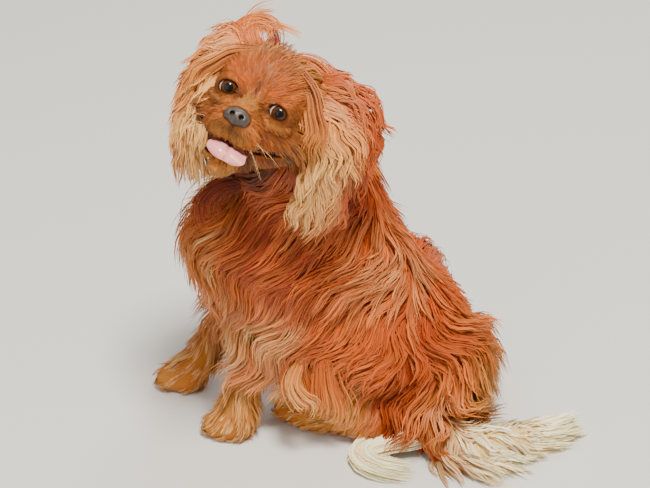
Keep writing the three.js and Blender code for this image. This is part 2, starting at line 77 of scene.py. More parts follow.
UP = np.array([0.0, 0.0, 1.0])
DOWN = -UP
BACK = np.array([0.0, 1.0, 0.0])


def unit(v):
    v = np.asarray(v, float)
    return v / np.maximum(np.linalg.norm(v, axis=-1, keepdims=True), 1e-9)


def face_axes():
    back = np.array([math.cos(VIEW_TILT), 0, math.sin(VIEW_TILT)])
    top = np.array([-math.sin(VIEW_TILT), 0, math.cos(VIEW_TILT)])
    front = back * math.cos(FACE_TURN) - BACK * math.sin(FACE_TURN)
    up = BACK * math.sin(FACE_ROLL) + top * math.cos(FACE_ROLL)
    left = unit(np.cross(up, front))
    return np.array([front, left, unit(np.cross(front, left))])


HEAD_AXES = face_axes()
HIP_LEFT = np.array([math.cos(HIP_TURN), -math.sin(HIP_TURN), 0])
HIP_AXES = np.array([np.cross(HIP_LEFT, UP), HIP_LEFT, UP])


def from_head(q):
    return np.array(HEAD_PLACE) + q @ HEAD_AXES


def in_head(front, left, up):
    return from_head(np.array([front, left, up]))


def to_head(p):
    return (p - np.array(HEAD_PLACE)) @ HEAD_AXES.T


def in_hips(front, left, up):
    return np.array(PELVIS_PLACE) + np.array([front, left, up]) @ HIP_AXES


# The flesh is a smooth union of round bones, each from a to b with a radius at both ends.
def bone(a, b, ra, rb):
    return np.array([*a, *b, ra, rb], float)


def ball(a, r):
    return bone(a, a, r, r)


def foreleg(shoulder, elbow, wrist, paw):
    toes = (paw[0] + 2, paw[1] - 20, 12)
    return [
        bone(shoulder, elbow, 33, 22),
        bone(elbow, wrist, 21, 14),
        bone(wrist, paw, 14, 15),
        bone(paw, toes, 15, 13),
    ]


def hindleg(side):
    return [
        bone(in_hips(6, side * 36, 84), in_hips(58, side * 80, 100), 50, 33),
        bone(in_hips(58, side * 80, 96), in_hips(-12, side * 58, 26), 30, 17),
        bone(in_hips(-12, side * 58, 18), in_hips(44, side * 76, 14), 16, 14),
        bone(in_hips(44, side * 76, 14), in_hips(72, side * 86, 12), 15, 13),
    ]


BODY = {
    "trunk": [
        bone((-48, 74, 60), (-57, 36, 104), 60, 58),
        bone((-57, 36, 104), (-64, -2, 158), 58, 62),
        bone((-64, -2, 158), (-60, -44, 204), 62, 68),
        bone((-60, -44, 204), (-56, -92, 196), 66, 50),
        bone((-56, -96, 190), (-56, -98, 168), 44, 36),
    ],
    "nape": [
        bone((-58, -22, 238), (-50, -46, 280), 52, 47),
        bone((-50, -46, 280), (-8, -66, 342), 46, 42),
    ],
    "foreleg_left": foreleg((-18, -66, 200), (-14, -66, 124), (-10, -101, 40), (-6, -106, 13)),
    "foreleg_right": foreleg((-100, -68, 200), (-96, -94, 124), (-88, -138, 42), (-84, -156, 13)),
    "hindleg_left": hindleg(1),
    "hindleg_right": hindleg(-1),
    "tail": [
        bone((-18, 82, 40), (22, 92, 18), 16, 14),
        bone((22, 92, 18), (38, 122, 15), 14, 12),
        bone((38, 122, 15), (26, 160, 14), 12, 10),
        bone((26, 160, 14), (10, 186, 13), 10, 6),
    ],
}
BODY_BONES = np.array([b for group in BODY.values() for b in group])
BONE_GROUP = np.array([name for name, group in BODY.items() for _ in group])

# The head's bones, in its own frame of front, left and up.
SKULL = np.array([
    bone((-22, 0, 8), (2, 0, 10), 40, 41),
    bone((8, -14, 16), (8, 14, 16), 28, 28),
    ball((22, 21, 11), 14),
    ball((22, -21, 11), 14),
    ball((6, 27, -22), 24),
    ball((6, -27, -22), 24),
    bone((28, 0, -17), (56, 0, -21), 25, 15),
    ball((54, 12, -28), 13.5),
    ball((54, -12, -28), 13.5),
    bone((28, 0, -4), (60, 0, -11), 11, 8),
    bone((-26, 0, -28), (-6, 0, -34), 34, 30),
])
JAW = np.array([bone((4, 0, -44), (44, 1, -61), 20, 12)])


def bone_distance(p, bones):
    a, b, ra, rb = bones[:, :3], bones[:, 3:6], bones[:, 6], bones[:, 7]
    line = b - a
    long = np.maximum((line**2).sum(1), 1e-9)
    t = np.clip(((p[:, None] - a) * line).sum(2) / long, 0, 1)
    off = p[:, None] - (a + line * t[..., None])
    return np.sqrt((off**2).sum(2)) - (ra + (rb - ra) * t)


def melt(p, bones, blend):
    d = bone_distance(p, bones)
    low = d.min(1)
    return low - blend * np.log(np.exp(-(d - low[:, None]) / blend).sum(1))


def smooth_min(a, b, k):
    h = np.clip(0.5 + 0.5 * (b - a) / k, 0, 1)
    return b * (1 - h) + a * h - k * h * (1 - h)


def smooth_max(a, b, k):
    return -smooth_min(-a, -b, k)


def ramp(value, start, width):
    """Rises from 0 at start to 1 a width further on."""
    return np.clip((value - start) / width, 0, 1)


def capsule(q, a, b, ra, rb):
    return bone_distance(q, np.array([bone(a, b, ra, rb)]))[:, 0]


def ball_value(q, place, radius):
    return np.linalg.norm(q - np.array(place), axis=1) - radius


# The mouth opens round a curved sheet that rises towards its corners.
def mouth_gap(q):
    """Distance to the space between the lips, negative inside it."""
    f, l, u = q.T
    middle = -38 - 0.26 * (f - 20) + 0.36 * np.maximum(0, np.abs(l) - 20)
    half = 0.6 + 7.6 * np.clip((f - 20) / 36, 0, 1)
    return np.maximum(np.abs(u - middle) - half, 15 - f)


# The lids leave an opening of the photographed eye's width and height.
LID_WIDE = 7.8
LID_TALL = 5.7
LID_TILT = 0.18
LID_THICK = 2.1
EYELINER = 1.9


def eye_spot(side):
    return np.array([EYE_DEPTH, side * EYE_SPREAD, 1])


def eye_distance(q, side):
    return np.linalg.norm(q - eye_spot(side), axis=1)


def eye_local(q, side):
    """Place about one eye: ahead of it, outwards along the lids, and up across them."""
    d = q - eye_spot(side)
    out = d[:, 1] * side
    along = out * math.cos(LID_TILT) - d[:, 2] * math.sin(LID_TILT)
    across = d[:, 2] * math.cos(LID_TILT) + out * math.sin(LID_TILT)
    return d[:, 0] + out * 0.25, along, across


def lid_gap(q, side):
    """Distance sideways to the edge of the opening between the lids."""
    ahead, along, across = eye_local(q, side)
    reach = np.where(along < 0, LID_WIDE + 1.0, LID_WIDE)
    ring = np.sqrt((along / reach) ** 2 + (across / LID_TALL) ** 2)
    return (ring - 1) * LID_TALL, ahead


MUZZLE_TIP = np.array([76, 0, -10])
NOSE_PLACE = np.array([66.5, 0, -17.0])
NOSE_HALF = np.array([8.6, 11.0, 8.2])
NOSE_SEAT = 1.5


def nose_egg(q):
    return (np.linalg.norm((q - NOSE_PLACE) / NOSE_HALF, axis=1) - 1) * NOSE_HALF[2]


# The face's folds on the left side, mirrored on the right: sign, both ends, both radii, and
# how softly each melts into the skin. A sign of -1 is cut in.
FACE_FORMS = {
    "brow": (1, (34, 12, 13), (30, 29, 16), 7.5, 6.0, 4),
    "inner corner": (-1, (48, 10, 0), (44, 14, -8), 2.6, 2.2, 4),
    "pouch": (1, (38, 16, -11), (28, 36, -9), 4.8, 4.2, 3),
    "fold under the pouch": (-1, (47, 17, -18), (28, 44, -14), 2.2, 1.6, 3),
}
FURROW = ((48, 0, 5), (41, 0, 24), 1.8, 0.2)
LIP_GROOVE = ((73, 0, -25), (69, 0, -36), 1.6, 1.0)
LOWER_LIP = ((48, -13, -55.5), (48, 13, -55.5), 4.2, 4.2)
MUZZLE_PAD = 14.2


def face_value(q):
    """The head's skin in its own frame, with lids, folds and an open mouth."""
    value = smooth_min(melt(q, SKULL, HEAD_BLEND), melt(q, JAW, HEAD_BLEND), 5) + FACE_INSET
    near = q[:, 0] > 8
    f = q[near]
    v = value[near]
    v = smooth_max(v, -capsule(f, *FURROW), 6)
    for side in (1, -1):
        mirror = np.array([1, side, 1])
        for sign, a, b, ra, rb, soft in FACE_FORMS.values():
            v = sign * smooth_min(sign * v, capsule(f, a * mirror, b * mirror, ra, rb), soft)
        v = smooth_min(v, ball_value(f, (56, side * 12.5, -28), MUZZLE_PAD), 3)
        eye = eye_distance(f, side)
        v = smooth_min(v, eye - EYE_RADIUS - LID_THICK, 2.5)
        gap, ahead = lid_gap(f, side)
        v = smooth_max(v, -np.maximum(gap, 1 - ahead), 1.0)
        v = np.maximum(v, EYE_RADIUS + 0.1 - eye)
    v = smooth_max(v, -mouth_gap(f), 2.2)
    v = smooth_min(v, capsule(f, *LOWER_LIP), 4)
    v = smooth_max(v, -capsule(f, *LIP_GROOVE), 2)
    value[near] = np.maximum(v, -nose_egg(f) - NOSE_SEAT)
    return value


def skin_value(p):
    value = melt(p, BODY_BONES, BODY_BLEND) + SKIN_INSET
    value -= (SKIN_INSET - FOOT_INSET) * ramp(-p[:, 2], -44, 20)
    q = to_head(p)
    near = np.linalg.norm(q - np.array([10, 0, -10]), axis=1) < 140
    value[near] = smooth_min(value[near], face_value(q[near]), 8)
    return value


def in_parts(work, p, size=30000):
    return np.concatenate([work(p[i:i + size]) for i in range(0, len(p), size)])


CORNERS = np.array([(1, -1, -1), (-1, -1, 1), (-1, 1, -1), (1, 1, 1)], float)


def slope(field, p, step=0.25):
    total = np.zeros_like(p)
    for corner in CORNERS:
        total += corner * field(p + corner * step)[:, None]
    return unit(total)


def skin_slope(p):
    return in_parts(lambda part: slope(skin_value, part), p)


# A surface is meshed on a grid with one point in each cell it crosses.
def whole_cells(line):
    """As many of the grid lines as make whole groups of four cells."""
    return line[:(len(line) - 1) // 4 * 4 + 1]


def graded(low, fine_low, fine_high, high, cell, fine):
    """Grid lines with small steps between fine_low and fine_high."""
    before = np.arange(low, fine_low, cell)
    inside = np.arange(fine_low, fine_high, fine)
    after = np.arange(fine_high, high + 5 * cell, cell)
    return whole_cells(np.concatenate([before, inside, after]))


def fill_between(value, axis, line):
    """Values at all grid lines of one axis, from those at every fourth line."""
    i = np.minimum(np.arange(len(line)) // 4, value.shape[axis] - 2)
    rough = line[::4]
    t = (line - rough[i]) / (rough[i + 1] - rough[i])
    t = t.reshape([-1 if k == axis else 1 for k in range(3)])
    return np.take(value, i, axis) * (1 - t) + np.take(value, i + 1, axis) * t


NEAR_CELLS = 4.4


def surface(field, lines):
    """Points and four-sided faces of the surface where the field is zero."""
    rough = np.stack(np.meshgrid(*[line[::4] for line in lines], indexing="ij"), -1)
    value = in_parts(field, rough.reshape(-1, 3)).reshape(rough.shape[:3])
    for axis in range(3):
        value = fill_between(value, axis, lines[axis])
    steps = [np.gradient(line) for line in lines]
    widest = np.maximum(np.maximum(steps[0][:, None, None], steps[1][None, :, None]), steps[2][None, None])
    near = np.argwhere(np.abs(value) < NEAR_CELLS * widest)
    spots = np.stack([lines[m][near[:, m]] for m in range(3)], 1)
    value[near[:, 0], near[:, 1], near[:, 2]] = in_parts(field, spots)
    shape = value.shape
    sums = np.zeros((3, value.size))
    count = np.zeros(value.size)
    quads = []
    for axis in range(3):
        step = np.eye(3, dtype=int)[axis]
        a = value[tuple(slice(0, shape[k] - step[k]) for k in range(3))]
        b = value[tuple(slice(step[k], None) for k in range(3))]
        cross = np.argwhere((a < 0) != (b < 0))
        cross = cross[(cross > 0).all(1)]
        va = a[cross[:, 0], cross[:, 1], cross[:, 2]]
        vb = b[cross[:, 0], cross[:, 1], cross[:, 2]]
        spot = cross + step * (va / (va - vb))[:, None]
        u, v = np.eye(3, dtype=int)[[(axis + 1) % 3, (axis + 2) % 3]]
        cells = [np.ravel_multi_index(c.T, shape) for c in (cross, cross - u, cross - u - v, cross - v)]
        for cell in cells:
            for m in range(3):
                sums[m] += np.bincount(cell, spot[:, m], value.size)
            count += np.bincount(cell, minlength=value.size)
        quad = np.stack(cells, 1)
        quad[va > 0] = quad[va > 0][:, ::-1]
        quads.append(quad)
    used = np.flatnonzero(count)
    number = np.full(value.size, -1)
    number[used] = np.arange(len(used))
    middle = sums[:, used] / count[used]
    points = np.stack([np.interp(middle[m], np.arange(shape[m]), lines[m]) for m in range(3)], 1)
    for _ in range(2):
        d = in_parts(field, points)
        away = in_parts(lambda part: slope(field, part), points)
        points -= away * np.clip(d, -0.5, 0.5)[:, None]
    return points, number[np.concatenate(quads)]


HASH_STEPS = (73856093, 19349663, 83492791)
SEED_STEP = 2654435761
HASH_MIX = 1274126177


def noise(p, size, seed):
    """Smooth noise from -1 to 1, with one draw at each corner of a grid."""
    q = p / size + seed * 17.31
    i = np.floor(q).astype(np.int64)
    f = q - i
    f = f * f * (3 - 2 * f)
    total = np.zeros(len(p))
    for corner in range(8):
        c = np.array([corner & 1, (corner >> 1) & 1, (corner >> 2) & 1])
        k = i + c
        h = seed * SEED_STEP
        for m in range(3):
            h = h ^ (k[:, m] * HASH_STEPS[m])
        h = (h ^ (h >> 13)) * HASH_MIX
        draw = ((h ^ (h >> 16)) & 0xFFFF) / 32767.5 - 1
        total += draw * np.where(c, f, 1 - f).prod(1)
    return total


# Colours are named as they look, and turned to linear light.
def colour(r, g, b):
    c = np.array([r, g, b]) / 255
    return np.where(c < 0.04045, c / 12.92, ((c + 0.055) / 1.055) ** 2.4)


CHESTNUT = colour(174, 66, 18)
DEEP_RED = colour(122, 38, 9)
RUST = colour(188, 80, 16)
ORANGE = colour(208, 100, 30)
GOLD = colour(224, 146, 68)
PALE_GOLD = colour(246, 204, 136)
CREAM = colour(255, 246, 206)
TAN = colour(190, 132, 62)
MAHOGANY = colour(92, 36, 12)
SOOT = colour(34, 18, 12)
PINK = colour(232, 150, 148)
IRIS_LIGHT = colour(96, 52, 26)
IRIS_DARK = colour(52, 26, 14)
IRIS_RIM = colour(26, 14, 10)
PUPIL = colour(6, 5, 5)
EYE_WHITE = colour(226, 204, 186)
EYE_CORNER = colour(170, 112, 92)
LEATHER_LIGHT = colour(84, 70, 62)
LEATHER_DARK = colour(48, 40, 38)
NOSTRIL_SHADE = colour(14, 8, 7)
TONGUE_GROOVE_SHADE = colour(206, 104, 104)
TONGUE_MOUTH_SHADE = colour(150, 60, 60)


def mix(a, b, t):
    t = np.clip(t, 0, 1)[..., None]
    return a * (1 - t) + b * t


def nearest_bone(p):
    return in_parts(lambda part: bone_distance(part, BODY_BONES).argmin(1), p)


def near_spot(q, spot, reach):
    return np.exp(-(((q - np.array(spot)) / np.array(reach)) ** 2).sum(1))


def coat_colour(p):
    """The body coat's colours at the root and at the tip."""
    group = BONE_GROUP[nearest_bone(p)]
    wide = noise(p, 52, 3)
    patch = noise(p, 24, 4)
    root = mix(CHESTNUT, DEEP_RED, 0.25 + 0.55 * wide)
    root = mix(root, RUST, 0.3 + 0.8 * noise(p, 60, 9))
    tip = mix(CHESTNUT, ORANGE, 0.45 + 0.7 * patch)
    tip = mix(tip, GOLD, np.clip(1.3 * noise(p, 30, 5) - 0.3, 0, 1))
    x, y, z = p.T
    chest = ramp(-y, 60, 30) * ramp(z, 100, 40)
    tip = mix(tip, GOLD, chest * (0.45 + 0.6 * noise(p, 16, 6)))
    sunlit = np.clip(noise(p, 8, 12) * 3.2 - 1.7, 0, 1)
    tip = mix(tip, PALE_GOLD, 0.75 * sunlit * np.clip(chest + 0.25, 0, 1))
    streak = np.exp(-(((z - 150) / 26) ** 2) - ((y + 60) / 34) ** 2)
    tip = mix(tip, PALE_GOLD, streak * 0.9)
    root = mix(root, ORANGE, streak * 0.8)
    # Painted highlight: the coat along the top of the back is paler where the light falls on it.
    ridge_highlight = ramp(y, 10, 40) * ramp(z, 150, 50) * ramp(x, -75, 30)
    tip = mix(tip, PALE_GOLD, ridge_highlight * 0.5)
    breech = ramp(-z, -130, 50) * ramp(y, 70, 40)
    root = mix(root, TAN, breech * 0.55)
    tip = mix(tip, mix(TAN, GOLD, 0.3 + 0.5 * patch), breech)
    # Painted shadow under the jaw: the throat's coat is darkened where the head shades it.
    throat_shadow = np.clip(2.4 * near_spot(to_head(p), (-6, 24, -60), (48, 46, 32)), 0, 1)
    root = mix(root, SOOT, throat_shadow * 0.85)
    tip = mix(tip, MAHOGANY, throat_shadow * 0.95)
    hem = ramp(-z, -108, 34) * ramp(y, 10, 30) * ramp(x, 30, 30)
    root = mix(root, MAHOGANY, hem * 0.9)
    tip = mix(tip, DEEP_RED, hem * 0.9)
    leg = (np.char.find(group, "leg_") >= 0) * ramp(-z, -130, 60) * ramp(-y, -40, 40)
    root = mix(root, mix(TAN, ORANGE, 0.2 + 0.4 * patch), leg * 0.9)
    tip = mix(tip, mix(GOLD, PALE_GOLD, 0.5 + 0.6 * patch), leg * 0.85)
    plume = (group == "tail") * ramp(y, 96, 14)
    root = mix(root, PALE_GOLD, plume)
    tip = mix(tip, CREAM, plume)
    return root, tip


# Patches of the face on the left side, mirrored on the right: colour, strength, place, reach.
FACE_PATCHES = {
    "brow": (RUST, 1.0, (36, 15, 14), (14, 9, 7)),
    # The gold pouch is a painted highlight on the bulge under the eye.
    "pouch": (GOLD, 0.75, (37, 27, -11), (9, 10, 3)),
    # The dark fold under the pouch is painted shade in the crease.
    "fold under the pouch": (MAHOGANY, 0.9, (38, 29, -17.5), (14, 15, 2.6)),
    "inner corner": (MAHOGANY, 0.9, (46, 10, -1), (9, 4, 8)),
    "muzzle": (TAN, 0.7, (66, 8, -33), (12, 9, 7)),
    "under the nose": (SOOT, 0.75, (69, 7, -29), (9, 9, 6)),
    "jaw's shadow": (SOOT, 0.9, (28, 30, -50), (18, 22, 9)),
}


# The face is painted by place: round the eyes, on the muzzle and lips, and on the brows.
def face_colour(p):
    q = to_head(p)
    f, l, u = q.T
    base = mix(CHESTNUT, ORANGE, 0.35 + 0.5 * noise(p, 17, 6))
    base = mix(base, TAN, 0.26)
    base = mix(base, GOLD, (0.3 + 0.4 * noise(p, 9, 7)) * ramp(u, 20, 16))
    streak = noise(unit(q - MUZZLE_TIP) * 60, 2.6, 9)
    base = mix(base * (0.72 + 0.5 * streak)[:, None], GOLD, 0.5 * np.clip(streak * 3 - 1.9, 0, 1))
    outer = ramp(np.abs(l), 26, 12) * ramp(-u, -16, 12)
    base = mix(base, mix(DEEP_RED, TAN, 0.3), 0.75 * outer)
    ring = np.exp(-((ball_value(q, (38, 0, 4), 30)) / 7.0) ** 2) * ramp(u, 14, 8)
    base = mix(base, CHESTNUT, 0.55 * ring)
    base = mix(base, TAN, 0.75 * near_spot(q, (58, 0, -2), (15, 12, 7)))
    for side in (1, -1):
        mirror = np.array([1, side, 1])
        for tone, strength, place, reach in FACE_PATCHES.values():
            base = mix(base, tone, strength * near_spot(q, place * mirror, reach))
        # The lips' edge is painted dark: the dark lip itself and the shadow along it.
        lips = capsule(q, (54, side * 17, -45), (27, side * 46, -31), 4.0, 4.0)
        base = mix(base, SOOT, 0.95 * ramp(-lips, -2.5, 2.5))
    # The furrow between the brows is painted dark, as shade in the crease.
    base = mix(base, MAHOGANY, 0.95 * near_spot(q, (46, 0, 11), (14, 2.4, 11)))
    fleck = np.clip(noise(p, 3.6, 8) * 3 - 1.7, 0, 1) * ramp(f, 46, 10)
    base = mix(base, SOOT, 0.6 * fleck)
    chin = ramp(-u, 54, 5) * ramp(f, 16, 16)
    base = mix(base, mix(GOLD, TAN, 0.5 + noise(p, 8, 14)), 0.85 * chin)
    # Painted shadow under the jaw: the face's coat there is darkened towards black.
    under = ramp(-u, 44, 12) * ramp(-f, -34, 14)
    base = mix(base, mix(MAHOGANY, SOOT, 0.5), 0.9 * under) * 0.86
    for side in (1, -1):
        gap, ahead = lid_gap(q, side)
        lined = (ahead > 0) & (eye_distance(q, side) - EYE_RADIUS < 5)
        base = mix(base, SOOT, 0.95 * np.exp(-((np.maximum(gap, 0) / EYELINER) ** 2)) * lined)
        inner = (EYE_DEPTH + 9, side * (EYE_SPREAD - 10.5), -1)
        base = mix(base, SOOT, 0.85 * near_spot(q, inner, (5, 3.2, 2.2)))
    base = mix(base, SOOT, ramp(-mouth_gap(q), -3.0, 1.6) * ramp(f, 14, 6))
    base = mix(base, SOOT, 0.8 * ramp(-capsule(q, *LIP_GROOVE), -2.2, 1.5))
    # The skin under the nose leather is painted dark, as shade seen through the nostrils.
    return mix(base, SOOT, ramp(-nose_value(q), -1.5, 1.5))


# The export's colour map has a chart for each bone, unrolled round it, and one for the head.
CHART_ROWS = (
    (0.00, 0.24, ("trunk",) * 5),
    (0.25, 0.25, ("nape",) * 2 + ("head",) * 2),
    (0.51, 0.11, ("foreleg_left",) * 4 + ("foreleg_right",) * 4),
    (0.63, 0.11, ("hindleg_left",) * 4 + ("hindleg_right",) * 4),
    (0.75, 0.11, ("tail",) * 4),
    (0.87, 0.12, ("ear_left", "ear_right")),
)


CHART_MARGIN = 0.004
TURN_REACH = 3.4


def chart_box(name, index=0):
    for y, tall, cells in CHART_ROWS:
        if name in cells:
            wide = 1 / len(cells)
            span = 2 if name == "head" else 1
            left = (cells.index(name) + index) * wide + CHART_MARGIN
            return left, y + CHART_MARGIN, wide * span - 2 * CHART_MARGIN, tall - 2 * CHART_MARGIN
    raise KeyError(name)


BONE_BOXES = np.array([
    chart_box(name, number - list(BONE_GROUP).index(name)) for number, name in enumerate(BONE_GROUP)
])
HEAD_BOX = np.array(chart_box("head"))


def on_head(p):
    def work(part):
        head = face_value(to_head(part))
        return head < melt(part, BODY_BONES, BODY_BLEND) + SKIN_INSET
    return in_parts(work, p)


def chart_of(p):
    return np.where(on_head(p), -1, nearest_bone(p))


def turn_and_height(p, chart):
    turn = np.empty(len(p))
    height = np.empty(len(p))
    for c in np.unique(chart):
        at = chart == c
        if c == -1:
            q = to_head(p[at])
            turn[at] = np.arctan2(q[:, 1], q[:, 0] + 4)
            height[at] = 0.5 + np.arcsin(np.clip(unit(q)[:, 2], -1, 1)) / math.pi
            continue
        b = BODY_BONES[c]
        axis = unit(b[3:6] - b[:3])
        side = unit(np.cross(axis, (0.31, 0.17, 0.93) if abs(axis[2]) < 0.9 else (1, 0.2, 0)))
        off = p[at] - b[:3]
        long = np.linalg.norm(b[3:6] - b[:3])
        reach = max(b[6], b[7])
        turn[at] = np.arctan2(off @ side, off @ np.cross(axis, side))
        height[at] = np.clip((off @ axis + reach) / (long + 2 * reach), 0, 1)
    return turn, height


def chart_uv(chart, turn, height):
    box = np.where((chart == -1)[:, None], HEAD_BOX, BONE_BOXES[chart])
    u = box[:, 0] + (np.clip(turn, -TURN_REACH, TURN_REACH) / (2 * TURN_REACH) + 0.5) * box[:, 2]
    return np.stack([u, box[:, 1] + height * box[:, 3]], 1)


def corner_uvs(points, faces):
    middle = points[faces].mean(1)
    chart = chart_of(middle)
    turn, _ = turn_and_height(middle, chart)
    each = np.repeat(chart, faces.shape[1])
    corner_turn, height = turn_and_height(points[faces.ravel()], each)
    home = np.repeat(turn, faces.shape[1])
    corner_turn = home + (corner_turn - home + math.pi) % math.tau - math.pi
    return chart_uv(each, corner_turn, height)


def root_uvs(p):
    chart = chart_of(p)
    return chart_uv(chart, *turn_and_height(p, chart))


# The move from the dog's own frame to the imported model's is read from one eye.
eye_low, eye_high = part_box("eye_left")
MOVE = (np.array(eye_low) + np.array(eye_high)) / 2 - in_head(EYE_DEPTH, EYE_SPREAD, 1) * MM


def put_mesh(name, points, faces, material, uvs=None, colours=None, strand=None, normals=None):
    """Makes a piece from arrays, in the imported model's frame."""
    mesh = bpy.data.meshes.new(name)
    sides = faces.shape[1]
    mesh.vertices.add(len(points))
    mesh.vertices.foreach_set("co", (points * MM + MOVE).astype(np.float32).ravel())
    mesh.loops.add(faces.size)
    mesh.loops.foreach_set("vertex_index", faces.astype(np.int32).ravel())
    mesh.polygons.add(len(faces))
    mesh.polygons.foreach_set("loop_start", np.arange(0, faces.size, sides, dtype=np.int32))
    mesh.update(calc_edges=True)
    mesh.polygons.foreach_set("use_smooth", np.ones(len(faces), bool))
    for label, values in (("OFBake", uvs), ("Strand", strand)):
        if values is not None:
            layer = mesh.uv_layers.new(name=label)
            layer.data.foreach_set("uv", values.astype(np.float32).ravel())
    if colours is not None:
        paint = mesh.color_attributes.new("Paint", "FLOAT_COLOR", "POINT")
        rgba = np.ones((len(points), 4), np.float32)
        rgba[:, :3] = colours
        paint.data.foreach_set("color", rgba.ravel())
    if normals is not None:
        mesh.normals_split_custom_set_from_vertices(normals.astype(np.float32))
    mesh.materials.append(material)
    piece = bpy.data.objects.new(name, mesh)
    bpy.context.collection.objects.link(piece)
    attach(piece, "root")
    return piece


# Materials.
def new_material(name):
    material = bpy.data.materials.new(name)
    material.use_nodes = True
    tree = material.node_tree
    return material, tree, tree.nodes["Principled BSDF"]


def fill_in(node, values):
    for socket, value in values.items():
        node.inputs[socket].default_value = value


def add_node(tree, kind, values=None):
    node = tree.nodes.new("ShaderNode" + kind)
    fill_in(node, values or {})
    return node


def join(tree, source, output, target, socket):
    tree.links.new(source.outputs[output], target.inputs[socket])


def paint_node(tree):
    paint = add_node(tree, "Attribute")
    paint.attribute_name = "Paint"
    return paint


def add_bump(tree, grain, output, shader, strength, depth):
    bump = add_node(tree, "Bump", {"Strength": strength, "Distance": depth})
    join(tree, grain, output, bump, "Height")
    join(tree, bump, "Normal", shader, "Normal")


def hair_material(name, roughness, streak, lanes):
    """Hair keeps its painted colour, streaked along each lock."""
    material, tree, shader = new_material(name)
    lane = add_node(tree, "UVMap")
    lane.uv_map = "Strand"
    stretch = add_node(tree, "Mapping", {"Scale": (lanes, 0.8, 1.0)})
    grain = add_node(tree, "TexNoise", {"Scale": 1.0, "Detail": 3.0})
    reach = {"From Min": 0.3, "From Max": 0.7, "To Min": 1 - streak, "To Max": 1 + streak}
    band = add_node(tree, "MapRange", reach)
    tint = add_node(tree, "VectorMath")
    tint.operation = "SCALE"
    join(tree, lane, "UV", stretch, "Vector")
    join(tree, stretch, "Vector", grain, "Vector")
    join(tree, grain, "Fac", band, "Value")
    tree.links.new(paint_node(tree).outputs["Color"], tint.inputs[0])
    join(tree, band, "Result", tint, "Scale")
    join(tree, tint, "Vector", shader, "Base Color")
    add_bump(tree, grain, "Fac", shader, 0.35, 0.0006)
    fill_in(shader, {"Roughness": roughness, "Specular IOR Level": 0.3})
    return material


def painted_material(name, roughness, grain_size, depth, coat=0.0, soft=0.0, shine=0.5):
    """A painted surface with a fine bump."""
    material, tree, shader = new_material(name)
    grain = add_node(tree, "TexNoise", {"Scale": 1 / grain_size, "Detail": 4.0})
    join(tree, add_node(tree, "TexCoord"), "Object", grain, "Vector")
    add_bump(tree, grain, "Fac", shader, 0.7, depth)
    join(tree, paint_node(tree), "Color", shader, "Base Color")
    fill_in(shader, {
        "Roughness": roughness,
        "Specular IOR Level": shine,
        "Coat Weight": coat,
        "Coat Roughness": 0.04,
        "Subsurface Weight": soft,
        "Subsurface Scale": 0.003,
    })
    return material


def leather_material():
    """Wet pebbled leather."""
    material, tree, shader = new_material("nose_leather")
    pebble = add_node(tree, "TexVoronoi", {"Scale": 900.0})
    join(tree, add_node(tree, "TexCoord"), "Object", pebble, "Vector")
    add_bump(tree, pebble, "Distance", shader, 0.5, 0.0004)
    join(tree, paint_node(tree), "Color", shader, "Base Color")
    fill_in(shader, {"Roughness": 0.36, "Specular IOR Level": 0.6})
    return material


SKIN = painted_material("skin", 0.85, 0.0024, 0.0012, shine=0.1)
EYE = painted_material("eye", 0.3, 0.0012, 0.00005, coat=0.6, shine=0.05)
TONGUE = painted_material("tongue", 0.4, 0.0016, 0.0003, coat=0.25, soft=0.25)
LEATHER = leather_material()
COAT = hair_material("coat", 0.45, 0.42, 3.4)
FACE_HAIR = hair_material("face_hair", 0.55, 0.25, 3.0)


# The skin is one piece from nose to tail.
def make_skin():
    lines = (
        graded(-205, 8, 104, 125, BODY_CELL, FACE_CELL),
        graded(-225, -136, -14, 240, BODY_CELL, FACE_CELL),
        graded(-14, 334, 440, 446, BODY_CELL, FACE_CELL),
    )
    points, faces = surface(skin_value, lines)
    points[:, 2] = np.maximum(points[:, 2], 1.5)
    head = on_head(points)
    tone = coat_colour(points)[0] * 0.9
    tone[head] = face_colour(points[head])
    skin = put_mesh("skin", points, faces, SKIN, uvs=corner_uvs(points, faces), colours=tone)
    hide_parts("head", "neck", "torso", "foreleg_left", "foreleg_right", "hindleg_left",
                "hindleg_right", "tail", "ear_left", "ear_right")
    return points, faces


def grid_faces(rows, around):
    """The faces of rows of points that each close into a ring."""
    i = np.arange(rows - 1)[:, None] * around
    j = np.arange(around)[None]
    k = (j + 1) % around
    return np.stack([i + j, i + k, i + k + around, i + j + around], -1).reshape(-1, 4)


def flat_tube(rows, columns):
    """Along it from 0 to 1, the turn round it, and its faces."""
    t = np.repeat(np.linspace(0, 1, rows), 2 * columns)
    turn = np.tile(np.linspace(0, math.tau, 2 * columns, endpoint=False), rows)
    return t, turn, grid_faces(rows, 2 * columns)


# Each eye is a ball with a low dome over the iris.
IRIS_EDGE = 0.74
PUPIL_EDGE = 0.36
GAZE = unit([0.82, -0.06, 0.46])


